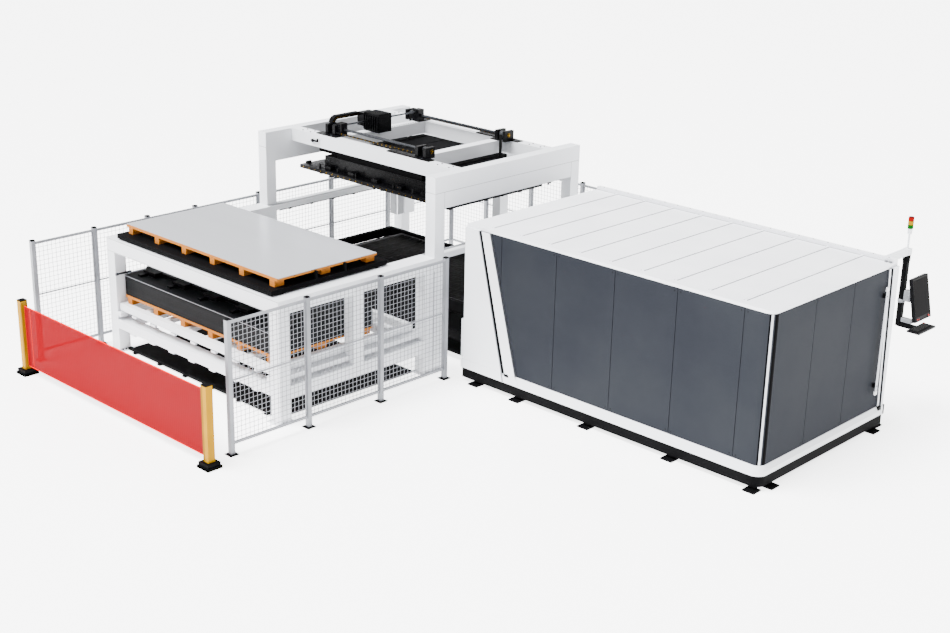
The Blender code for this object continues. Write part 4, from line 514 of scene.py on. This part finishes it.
def screw_places(joints):
    """Four heads for each joint between two panels, 40 mm to either side."""
    return [(joint + turn * 0.040, z) for joint in joints for turn in (-1, 1) for z in SCREW_Z]


studs("front_panel_screws", black_abs, "Y", screw_places(FRONT_JOINTS), (-0.003, 0.002), 0.006)
studs("end_panel_screws", black_abs, "X", screw_places(END_JOINTS), (-0.002, 0.003), 0.006)
heads = [(2.270, SCREW_Z[1]), (2.340, SCREW_Z[0])]
studs("end_door_screws", black_abs, "X", heads, (-0.002, 0.003), 0.006, "end_door")

bm = bmesh.new()
leaning(bm, (RIM_LEFT, -3.711), (RIM_LEFT, -3.740), (-0.034, 0.001), RIM_Z)
box(bm, (RIM_LEFT, -4.395), (0.000, 0.300), RIM_Z)
box(bm, (-0.001, 0.034), (2.490, 2.563), RIM_Z)
box(bm, (-0.250, 0.034), (2.530, 2.563), RIM_Z)
set_down("rim_covers", bm, white_powder_coat)
# Each leaning trim has a bright edge, a white strip, a black block in the groove between them as painted
# shade, and a black foot.
bm = bmesh.new()
leaning(bm, (-3.752, -3.738), (-4.178, -4.164), (-0.0310, -0.0270), PANEL_Z)
leaning(bm, (-3.725, -3.708), (-3.754, -3.737), (-0.0370, -0.0330), (0.184, 0.2945))
leaning_end(bm, (2.482, 2.489), (2.392, 2.399), (0.0270, 0.0300), PANEL_Z)
set_down("slanted_edge_strips", bm, satin_anodised_aluminium)
bm = bmesh.new()
leaning(bm, (-3.690, -3.522), (-4.130, -3.997), (-0.0295, -0.0275), PANEL_Z)
leaning_end(bm, (2.425, 2.459), (2.335, 2.369), (0.0136, 0.0156), PANEL_Z)
leaning(bm, (-3.675, -3.455), (-3.696, -3.520), (-0.0345, -0.002), (0.212, 0.2995))
set_down("slanted_white_strips", bm, white_powder_coat)
bm = bmesh.new()
leaning(bm, (-3.7370, -3.6955), (-4.1630, -4.1355), (-0.0280, -0.0005), PANEL_Z)
leaning_end(bm, (2.4775, 2.4825), (2.3875, 2.3925), (0.0160, 0.0285), PANEL_Z)
set_down("slanted_groove_shades", bm, black_texture_coat)
bm = bmesh.new()
leaning(bm, (-3.690, -3.610), (-3.702, -3.622), (-0.0385, -0.002), (0.262, 0.300))
leaning_end(bm, (2.425, 2.488), (2.421, 2.484), (0.002, 0.038), (0.250, 0.302))
soften(bm, 0.008, 2)
set_down("slanted_trim_feet", bm, black_abs)

# The round corner post: the lacquer reaches round onto it, and a bright upright strip of sheet finish is a
# painted highlight, with a lacquer margin as its fading edge. Each skin has its first and last angle in
# degrees and its radius.
POST_X, POST_Y, POST_FOOT = -0.100, 0.100, 0.296
POST_HEIGHT = 1.718
POST_SKINS = (
    ("corner_post_lacquer", graphite_lacquer, -90, -62, 0.1004),
    ("corner_post_painted_highlight_edge", graphite_lacquer, -53, -27, 0.1004),
    ("corner_post_painted_highlight", cold_rolled_sheet, -51, -37, 0.1010),
)
for name, finish, start, stop, radius in POST_SKINS:
    bm = bmesh.new()
    angle = math.radians(start)
    foot = Vector((POST_X + radius * math.cos(angle), POST_Y + radius * math.sin(angle), POST_FOOT))
    low = bm.verts.new(foot)
    high = bm.verts.new(foot + Vector((0, 0, POST_HEIGHT)))
    line = bm.edges.new((low, high))
    sweep = math.radians(stop - start)
    bmesh.ops.spin(
        bm, geom=[low, high, line], cent=(POST_X, POST_Y, 0), axis=(0, 0, 1), angle=sweep, steps=10
    )
    bmesh.ops.recalc_face_normals(bm, faces=bm.faces[:])
    bmesh.ops.solidify(bm, geom=bm.faces[:], thickness=0.0008)
    bmesh.ops.recalc_face_normals(bm, faces=bm.faces[:])
    set_down(name, bm, finish)

# Folded seams: the soft grey line on either side of each is painted shade beside the fold. One more grey line
# runs along the rear edge.
ROOF_Z = 2.050
FIRST_SEAM, SEAM_PITCH, SEAM_COUNT = 0.420, 0.455, 9
bm = bmesh.new()
for seam in range(SEAM_COUNT):
    place = -(FIRST_SEAM + seam * SEAM_PITCH)
    for turn in (-1, 1):
        box(bm, about(place + turn * 0.020, 0.009), (0.100, 2.470), (ROOF_Z, 2.0532))
box(bm, (-4.400, -0.020), (2.462, 2.470), (ROOF_Z, 2.0540))
set_down("roof_seam_painted_shadows", bm, grey_machine_paint)
spots = [(x, 2.500) for x in spread(-4.300, -0.100, 22)]
studs("roof_rail_studs", black_abs, "Z", spots, (2.092, 2.097), 0.008)
bm = bmesh.new()
for place in (-0.045, -0.100):
    box(bm, about(place, 0.026), (2.425, 2.462), (ROOF_Z, 2.068))
    rod(bm, "X", 2.440, 2.070, about(place, 0.036), 0.007, 10)
soften(bm, 0.0015)
set_down("roof_hinge_fittings", bm, grey_machine_paint)

# The long handle is a flat bar on black brackets, with white end caps.
HANDLE_Y = 2.280
bm = bmesh.new()
box(bm, (0.038, 0.054), about(HANDLE_Y, 0.050), (0.545, 1.775))
soften(bm, 0.005, 2)
handle = set_down("handle_bar", bm, brushed_stainless, "end_door")
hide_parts("door_handle")
bm = bmesh.new()
for z in ((0.500, 0.550), (1.770, 1.820)):
    box(bm, (0.034, 0.056), about(HANDLE_Y, 0.052), z)
soften(bm, 0.006, 2)
set_down("handle_caps", bm, white_powder_coat, "end_door")
bm = bmesh.new()
for z in (0.610, 1.710):
    box(bm, (0.0005, 0.040), about(HANDLE_Y, 0.034), about(z, 0.050))
    rod(bm, "X", HANDLE_Y, z, (0.0005, 0.057), 0.009, 10)
soften(bm, 0.002)
set_down("handle_brackets", bm, black_abs, "end_door")


# Console

# The monitor is drawn upright about its tilt hinge and then leans back.
HINGE_Z = 1.490
LEAN_DEGREES = 12.0
HINGE = Vector((0, BOOM_Y, HINGE_Z))
LEAN = Matrix.Translation(HINGE) @ Matrix.Rotation(-math.radians(LEAN_DEGREES), 4, "Y")
bm = bmesh.new()
box(bm, (0.0652, 0.0668), about(0, 0.335), (-0.205, 0.235))
set_down("monitor_glass", bm, screen_glass, "monitor", place=LEAN)
bm = bmesh.new()
for y in (-0.178, 0.178):
    box(bm, (0.022, 0.0675), about(y, 0.011), (-0.256, 0.256))
for z in (-0.252, 0.252):
    box(bm, (0.022, 0.0675), (-0.178, 0.178), about(z, 0.011))
soften(bm, 0.003, 2)
set_down("monitor_bezel", bm, black_abs, "monitor", place=LEAN)
bm = bmesh.new()
rod(bm, "X", -0.135, -0.230, (0.063, 0.070), 0.010, 16, 0.008)
rod(bm, "X", -0.100, -0.230, (0.063, 0.069), 0.007, 16, 0.006)
set_down("monitor_keys", bm, red_abs, "monitor", place=LEAN)
bm = bmesh.new()
box(bm, (-0.150, -0.062), about(BOOM_Y, 0.082), (1.425, 1.555))
box(bm, (-0.155, -0.020), about(BOOM_Y, 0.060), (1.160, 1.210))
rod(bm, "Z", BOOM_X, BOOM_Y, (1.395, 1.435), 0.046, 20)
rod(bm, "Y", -0.085, HINGE_Z, about(BOOM_Y, 0.100), 0.022, 16)
soften(bm, 0.003)
set_down("console_bracket", bm, grey_machine_paint, "console")
KEY_ROWS, KEYS_A_ROW = 5, 14
ROW_PITCH, KEY_PITCH = 0.022, 0.0225
bm = bmesh.new()
for row in range(KEY_ROWS):
    for key in range(KEYS_A_ROW):
        place = (0.048 + row * ROW_PITCH, 2.945 + key * KEY_PITCH)
        box(bm, about(place[0], 0.018), about(place[1], 0.019), (1.139, 1.1465))
set_down("keyboard_keys", bm, black_gloss_enamel, "keyboard_tray")
bm = bmesh.new()
rod(bm, "Z", 0.042, 3.284, (1.138, 1.150), 0.011, 16, 0.009)
set_down("tray_dot", bm, red_abs, "keyboard_tray")
bm = bmesh.new()
box(bm, about(BOOM_X, 0.078), about(2.620, 0.050), (1.990, 2.062))
box(bm, about(BOOM_X, 0.084), about(BOOM_Y, 0.078), (1.984, 2.060))
soften(bm, 0.004, 2)
set_down("boom_sleeves", bm, white_powder_coat)


# Hoist

# The two shafts' places along y, and their height.
FRONT_LINE, REAR_LINE, SHAFT_Z = 0.572, 2.023, 2.6383

# The chain's pins, drawn 12 mm across so that they still show at this distance. The chain rises from
# the front shaft, turns through its bend and runs level to the motor.
CHAIN_X = (-7.606, -7.518)
CHAIN_FOOT, CHAIN_END = 2.6936, 1.0417
PIN_COUNT = 24
bm = bmesh.new()
bend = 0.070
arc = bend * math.pi / 2
length = arc + CHAIN_END - FRONT_LINE - bend
for pin in range(1, PIN_COUNT):
    along = length * pin / PIN_COUNT
    if along < arc:
        angle = along / bend
        spot = (FRONT_LINE + bend - bend * math.cos(angle), CHAIN_FOOT + bend * math.sin(angle))
    else:
        spot = (FRONT_LINE + bend + along - arc, CHAIN_FOOT + bend)
    rod(bm, "X", spot[0], spot[1], CHAIN_X, 0.006, 8)
set_down("chain_pins", bm, oiled_brass)
TEETH, TOOTH_REACH = 6, 0.024
for line, place in (("front", FRONT_LINE), ("rear", REAR_LINE)):
    bm = bmesh.new()
    for x in (-7.588, -5.612):
        rod(bm, "X", place, SHAFT_Z, about(x, 0.024), 0.011, 12)
        for tooth in range(TEETH):
            angle = tooth * math.tau / TEETH
            spot = (place + TOOTH_REACH * math.cos(angle), SHAFT_Z + TOOTH_REACH * math.sin(angle))
            rod(bm, "X", spot[0], spot[1], about(x, 0.012), 0.0055, 6)
    set_down("shaft_sprockets_" + line, bm, oiled_brass, "hoist_shaft_" + line)
bm = bmesh.new()
for place in (FRONT_LINE - 0.085, REAR_LINE + 0.085):
    for x in spread(-7.260, -5.890, 18):
        rod(bm, "X", place, 2.5933, about(x, 0.014), 0.0135, 10)
set_down("tie_rod_rings", bm, oiled_brass)
bm = bmesh.new()
for y in spread(1.380, 1.960, 14):
    rod(bm, "Z", -7.312, y, (2.547, 2.5525), 0.009, 8)
for x in (-7.96, -7.80, -5.32, -5.12):
    for y in (0.39, 0.47, 2.12, 2.20):
        rod(bm, "Z", x, y, (2.547, 2.556), 0.010, 6)
set_down("hoist_beam_studs", bm, black_abs)
for line, place, toward in (("front", FRONT_LINE, -1), ("rear", REAR_LINE, 1)):
    bm = bmesh.new()
    for x in (-7.560, -7.400, -6.180, -6.000, -5.640):
        for step in (0.080, 0.150):
            rod(bm, "Z", x, place + toward * step, (2.560, 2.572), 0.011, 6)
    set_down("station_bolts_" + line, bm, turned_steel)
bm = bmesh.new()
rod(bm, "Y", -7.700, 2.455, (0.330, 0.3505), 0.024, 16)
box(bm, (-7.715, -7.570), (0.318, 0.336), (2.452, 2.474))
box(bm, (-7.592, -7.570), (0.318, 0.336), (2.452, 2.500))
soften(bm, 0.003)
set_down("beam_handle", bm, black_abs)
MOTOR_X = (-7.425, -7.135)
MOTOR_SHAFT_Y, MOTOR_SHAFT_Z = 1.150, 2.700
FIN_COUNT, FIN_PITCH = 6, 0.035
bm = bmesh.new()
box(bm, MOTOR_X, (1.040, 1.275), (2.795, 2.803))
for fin in range(FIN_COUNT):
    box(bm, MOTOR_X, about(1.070 + fin * FIN_PITCH, 0.010), (2.797, 2.809))
rod(bm, "X", MOTOR_SHAFT_Y, MOTOR_SHAFT_Z, (-7.592, -7.568), 0.030, 16)
rod(bm, "X", MOTOR_SHAFT_Y, MOTOR_SHAFT_Z, (-7.600, -7.560), 0.014, 12)
set_down("motor_fins", bm, black_gloss_enamel)

# The suction frame's rivets, its black cover plates and its fittings.
SUCTION_X = (-7.980, -5.200)
RIVET_Z = (2.2190, 2.2235)
bm = bmesh.new()
for x in spread(*SUCTION_X, 24):
    rod(bm, "Y", x, 2.026, (0.4035, 0.4090), 0.008, 8)
for x in spread(-7.620, -5.560, 18):
    rod(bm, "Z", x, 0.617, RIVET_Z, 0.008, 8)
    rod(bm, "Z", x, 1.978, RIVET_Z, 0.008, 8)
set_down("suction_frame_rivets", bm, oiled_brass, "suction_frame")
bm = bmesh.new()
box(bm, (-7.425, -5.765), (0.546, 2.170), (2.205, 2.330))
box(bm, SUCTION_X, (0.700, 1.890), (2.205, 2.326))
for x in spread(-7.300, -5.890, 5):
    box(bm, about(x, 0.030), (0.560, 2.156), (2.325, 2.334))
set_down("suction_frame_cover", bm, black_texture_coat, "suction_frame")
bm = bmesh.new()
for y in (0.560, 0.950, 1.300, 1.650, 2.040):
    box(bm, (-8.084, -8.040), about(y, 0.060), (1.985, 2.070))
    rod(bm, "Z", -8.020, y, (2.045, 2.085), 0.020, 12)
for x in spread(-7.700, -5.480, 7):
    rod(bm, "Z", x, 0.470, (2.045, 2.110), 0.018, 12, 0.012)
    rod(bm, "Z", x, 2.125, (2.045, 2.110), 0.018, 12, 0.012)
for y in (0.860, 1.735):
    rod(bm, "X", y, 2.112, (-7.950, -5.230), 0.014, 10)
set_down("suction_frame_fittings", bm, black_gloss_enamel, "suction_frame")

# Each lift belt runs from its drum to the suction frame and lengthens as the frame goes down. Its box is
# the CAD belt's, in the frame's own measure, so set_down's shift is taken off first.
for line in ("front", "rear"):
    for side in ("left", "right"):
        name = "lift_belt_" + line + "_" + side
        low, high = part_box(name)
        bm = bmesh.new()
        box(bm, (low[0], high[0]), (low[1], high[1]), (low[2], high[2]))
        bmesh.ops.subdivide_edges(bm, edges=bm.edges[:], cuts=5, use_grid_fill=True)
        bm.transform(Matrix.Translation(-SHIFT))
        belt = set_down("stretching_" + name, bm, moulded_rubber, None)
        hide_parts(name)
        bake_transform(belt)


# Portal and store

TABLE_END_X = (-8.001, -7.746)
bm = bmesh.new()
box(bm, TABLE_END_X, (0.480, 2.040), (0.6880, 0.6980))
for y in (0.700, 1.260, 1.820):
    box(bm, TABLE_END_X, about(y, 0.030), (0.6960, 0.7120))
set_down("table_end_cover", bm, black_texture_coat)
# The portal's welds follow its side beams' lower and upper edges.
LEG_FACES = ((-4.8562, -4.8540), (-8.3260, -8.3238))
BEAM_Y = (0.060, 2.460)
BEAM_LOWER, BEAM_UPPER = 2.134, 2.342
bm = bmesh.new()
for face in LEG_FACES:
    box(bm, face, (-0.100, 2.620), about(BEAM_UPPER, 0.005))
    box(bm, face, BEAM_Y, about(BEAM_LOWER, 0.004))
    for y in BEAM_Y:
        box(bm, face, about(y, 0.004), (BEAM_LOWER, 2.340))
for x in ((-5.020, -4.856), (-8.324, -8.160)):
    box(bm, x, (-0.1062, -0.1040), about(BEAM_UPPER, 0.005))
set_down("portal_weld_seams", bm, grey_machine_paint)
CLAMP_X = -4.940
bm = bmesh.new()
for y in spread(0.900, 2.100, 5):
    box(bm, about(CLAMP_X, 0.070), about(y, 0.055), (2.095, BEAM_LOWER))
    rod(bm, "Z", CLAMP_X, y, (2.070, 2.100), 0.014, 10)
soften(bm, 0.003)
set_down("portal_beam_clamps", bm, black_abs)
# The upper trolley's rails along both sides of the portal.
RAIL_LEFT, RAIL_RIGHT = -8.1590, -5.0210
bm = bmesh.new()
for x in ((RAIL_LEFT, -8.0915), (-5.0885, RAIL_RIGHT)):
    box(bm, x, (-0.104, 2.620), (1.5195, 1.5211))
set_down("trolley_rail_tops", bm, grey_machine_paint)
bm = bmesh.new()
for x in ((RAIL_LEFT, -8.0885), (-5.0915, RAIL_RIGHT)):
    box(bm, x, (0.062, 2.458), (1.437, 1.4465))
for y in spread(0.250, 2.250, 6):
    box(bm, (RAIL_LEFT, -8.0950), about(y, 0.040), (1.420, 1.440))
set_down("trolley_rail_undersides", bm, black_texture_coat)

bolts = []
for x in (-8.2425, -4.9375):
    for y, step in ((-2.508, -0.045), (-0.188, -0.045), (2.5425, 0.045), (-0.0225, -0.045)):
        for turn in (-1, 1):
            bolts.append((x + turn * 0.100, y + step))
            bolts.append((x + turn * 0.100, y))
studs("base_plate_bolts", turned_steel, "Z", bolts, (0.012, 0.030), 0.011, sides=6)
bm = bmesh.new()
box(bm, (-8.2600, -8.1250), (2.315, 2.323), (0.945, 1.275))
box(bm, (-8.1140, -8.1060), (2.335, 2.450), (0.945, 1.275))
rod(bm, "Y", -8.150, 1.110, (2.306, 2.320), 0.012, 12)
soften(bm, 0.002)
set_down("control_box_doors", bm, grey_machine_paint)

LUG_PLACES = spread(-7.850, -5.330, 7)
bm = bmesh.new()
for x in LUG_PLACES:
    box(bm, about(x, 0.090), (-2.5540, -2.5200), (0.528, 0.557))
set_down("drawer_lugs", bm, white_powder_coat, "lower_trolley")
bm = bmesh.new()
for x in LUG_PLACES:
    box(bm, about(x, 0.110), (-2.5880, -2.5400), (0.300, 0.326))
    rod(bm, "Y", x, 0.385, (-2.5935, -2.5890), 0.009, 8)
set_down("front_rail_lugs", bm, white_powder_coat)
bm = bmesh.new()
box(bm, (-8.120, -5.060), (-2.495, -2.445), (0.014, 0.046))
for x in spread(-7.950, -5.230, 6):
    box(bm, about(x, 0.060), (-2.520, -2.420), (0, 0.020))
set_down("floor_strip", bm, black_texture_coat)
bm = bmesh.new()
box(bm, (-8.114, -5.066), (-2.4820, -2.4800), (1.0290, 1.0360))
set_down("stack_label_edge", bm, silver_fence_coat, "lower_trolley")
STACK_TOP, SEPARATOR_BACK = 1.0465, -2.170
bm = bmesh.new()
for x in spread(-7.850, -5.300, 5):
    box(bm, about(x, 0.260), (-2.290, SEPARATOR_BACK), (STACK_TOP, 1.1000))
    box(bm, about(x - 0.060, 0.070), (-2.400, SEPARATOR_BACK), (STACK_TOP, 1.0750))
box(bm, (-8.105, -5.075), (SEPARATOR_BACK, -2.110), (STACK_TOP, 1.0800))
soften(bm, 0.004)
set_down("stack_separators", bm, black_abs, "lower_trolley")
bm = bmesh.new()
for reach, radius in (((-2.620, -2.400), 0.014), ((-2.628, -2.600), 0.019)):
    rod(bm, "Y", -8.095, 1.080, reach, radius, 12)
set_down("stack_pusher", bm, turned_steel, "lower_trolley")
# A black sheet with two cross strips on the floor under the store: painted shade under the store.
SHADE_SHEET_X = (-8.155, -5.025)
bm = bmesh.new()
box(bm, SHADE_SHEET_X, (-2.440, -0.280), (0.002, 0.012))
for y in (-1.900, -1.100):
    box(bm, SHADE_SHEET_X, about(y, 0.050), (0.010, 0.019))
set_down("store_floor_painted_shade", bm, black_texture_coat)
bm = bmesh.new()
for face in ((-4.8565, -4.8548), (-8.3252, -8.3235)):
    box(bm, face, about(-0.1055, 0.008), (0.014, 1.350))
set_down("store_portal_joint", bm, black_abs)
bm = bmesh.new()
for z in (1.3560, 1.5160):
    box(bm, (-8.320, -4.858), (-2.5915, -2.5900), about(z, 0.004))
for y in (-2.424, -1.455, -1.290, -0.270):
    box(bm, (-4.8560, -4.8545), about(y, 0.004), (0.455, 1.351))
set_down("store_weld_seams", bm, grey_machine_paint)


# Exchange pallets: the dense rows of burnt slats between the welded ones, which are the CAD's

SLAT = 0.004
SLAT_COUNT = 52
WELDED_EVERY = 4
SLAT_Y = (0.497, 2.023)
TOOTH_HEIGHT = 0.010
TOOTH_FOOT, TOOTH_TIP = 0.150, 0.030
for label, left, right, low, high in (
    ("pallet_upper", -7.690, -4.590, 0.735, 0.806),
    ("pallet_lower", -3.620, -0.520, 0.465, 0.536),
):
    bm = bmesh.new()
    pitch = (right - left) / SLAT_COUNT
    for step in range(SLAT_COUNT):
        if step % WELDED_EVERY == 0:
            continue
        x = left + step * pitch
        root = high - TOOTH_HEIGHT
        box(bm, about(x, SLAT), SLAT_Y, (low, root))
        for tooth in spread(0.560, 1.960, 9):
            leaning_end(bm, about(tooth, TOOTH_FOOT), about(tooth, TOOTH_TIP), about(x, SLAT), (root, high))
    set_down(label + "_slats", bm, scaled_cut_steel, label)


# Stage


def stage_piece(name, bm, finish, roughness, shine, colour, glow):
    """A surface of the stage that gives off its own even light."""
    mesh = bpy.data.meshes.new(name)
    bm.to_mesh(mesh)
    bm.free()
    piece = bpy.data.objects.new(name, mesh)
    bpy.context.scene.collection.objects.link(piece)
    material, _, shader = new_finish(finish, roughness, Specular_IOR_Level=shine)
    shader.inputs["Base Color"].default_value = colour
    shader.inputs["Emission Color"].default_value = (1.0, 1.0, 1.0, 1)
    shader.inputs["Emission Strength"].default_value = glow
    mesh.materials.append(material)
    return piece


def make_stage():
    bm = bmesh.new()
    bmesh.ops.create_grid(bm, x_segments=1, y_segments=1, size=60)
    floor = stage_piece("studio_floor", bm, "pale_floor", 0.28, 0.35, (0.93, 0.93, 0.935, 1), 3.2)
    floor.location.z = -0.0005
    # A far round wall of the floor's tone. The object's own light doesn't come from it.
    bm = bmesh.new()
    bmesh.ops.create_cone(bm, segments=64, radius1=58, radius2=58, depth=90)
    wall = stage_piece("studio_wall", bm, "pale_wall", 0.9, 0.0, (0.0, 0.0, 0.0, 1), 6.0)
    wall.visible_diffuse = False
    wall.visible_glossy = False
    wall.visible_transmission = False
    wall.visible_shadow = False
    world = bpy.data.worlds.new("studio")
    world.use_nodes = True
    world.node_tree.nodes["Background"].inputs["Color"].default_value = (1.0, 1.0, 1.0, 1)
    world.node_tree.nodes["Background"].inputs["Strength"].default_value = 1.15
    bpy.context.scene.world = world
    # Each lamp has its place, its aim, its angle or width, and its power.
    lamps = (
        ("key", "SUN", (-4.0, -7.0, 16.0), (0.0, 0.0, 0.0), math.radians(36), 13.5),
        ("fill", "AREA", (12.0, -3.0, 6.0), (2.0, 1.0, 1.0), 6.0, 90),
        ("front", "AREA", (-5.0, -11.0, 5.0), (-3.0, 0.0, 1.0), 6.0, 300),
    )
    for label, kind, spot, aim, size, power in lamps:
        data = bpy.data.lights.new(label, kind)
        data.energy = power
        if kind == "SUN":
            data.angle = size
        else:
            data.size = size
        lamp = bpy.data.objects.new(label, data)
        lamp.location = spot
        lamp.rotation_euler = (Vector(aim) - Vector(spot)).to_track_quat("-Z", "Y").to_euler()
        bpy.context.scene.collection.objects.link(lamp)


# The photograph's camera, solved from the cabinet's corners: its turns in degrees, its focal length in
# the photograph's pixels and its place.
CAMERA_TURNS = (43.5652, -19.5730, 1.3189)
FOCAL_PIXELS = 1497.58
CAMERA_PLACE = Vector((7.787, -12.641, 7.0945))


def make_camera():
    yaw, pitch, roll = (math.radians(turn) for turn in CAMERA_TURNS)
    ahead = Vector((math.cos(pitch) * -math.sin(yaw), math.cos(pitch) * math.cos(yaw), math.sin(pitch)))
    level = Vector((math.cos(yaw), math.sin(yaw), 0))
    upright = level.cross(ahead)
    right = math.cos(roll) * level + math.sin(roll) * upright
    up = -math.sin(roll) * level + math.cos(roll) * upright
    data = bpy.data.cameras.new("photo_camera")
    data.sensor_width = 36
    data.lens = FOCAL_PIXELS / PHOTO_WIDTH * data.sensor_width
    data.clip_end = 200
    camera = bpy.data.objects.new("photo_camera", data)
    turn = Matrix((right, up, -ahead)).transposed().to_4x4()
    camera.matrix_world = Matrix.Translation(CAMERA_PLACE + SHIFT) @ turn
    bpy.context.scene.collection.objects.link(camera)
    bpy.context.scene.camera = camera


make_camera()
make_stage()
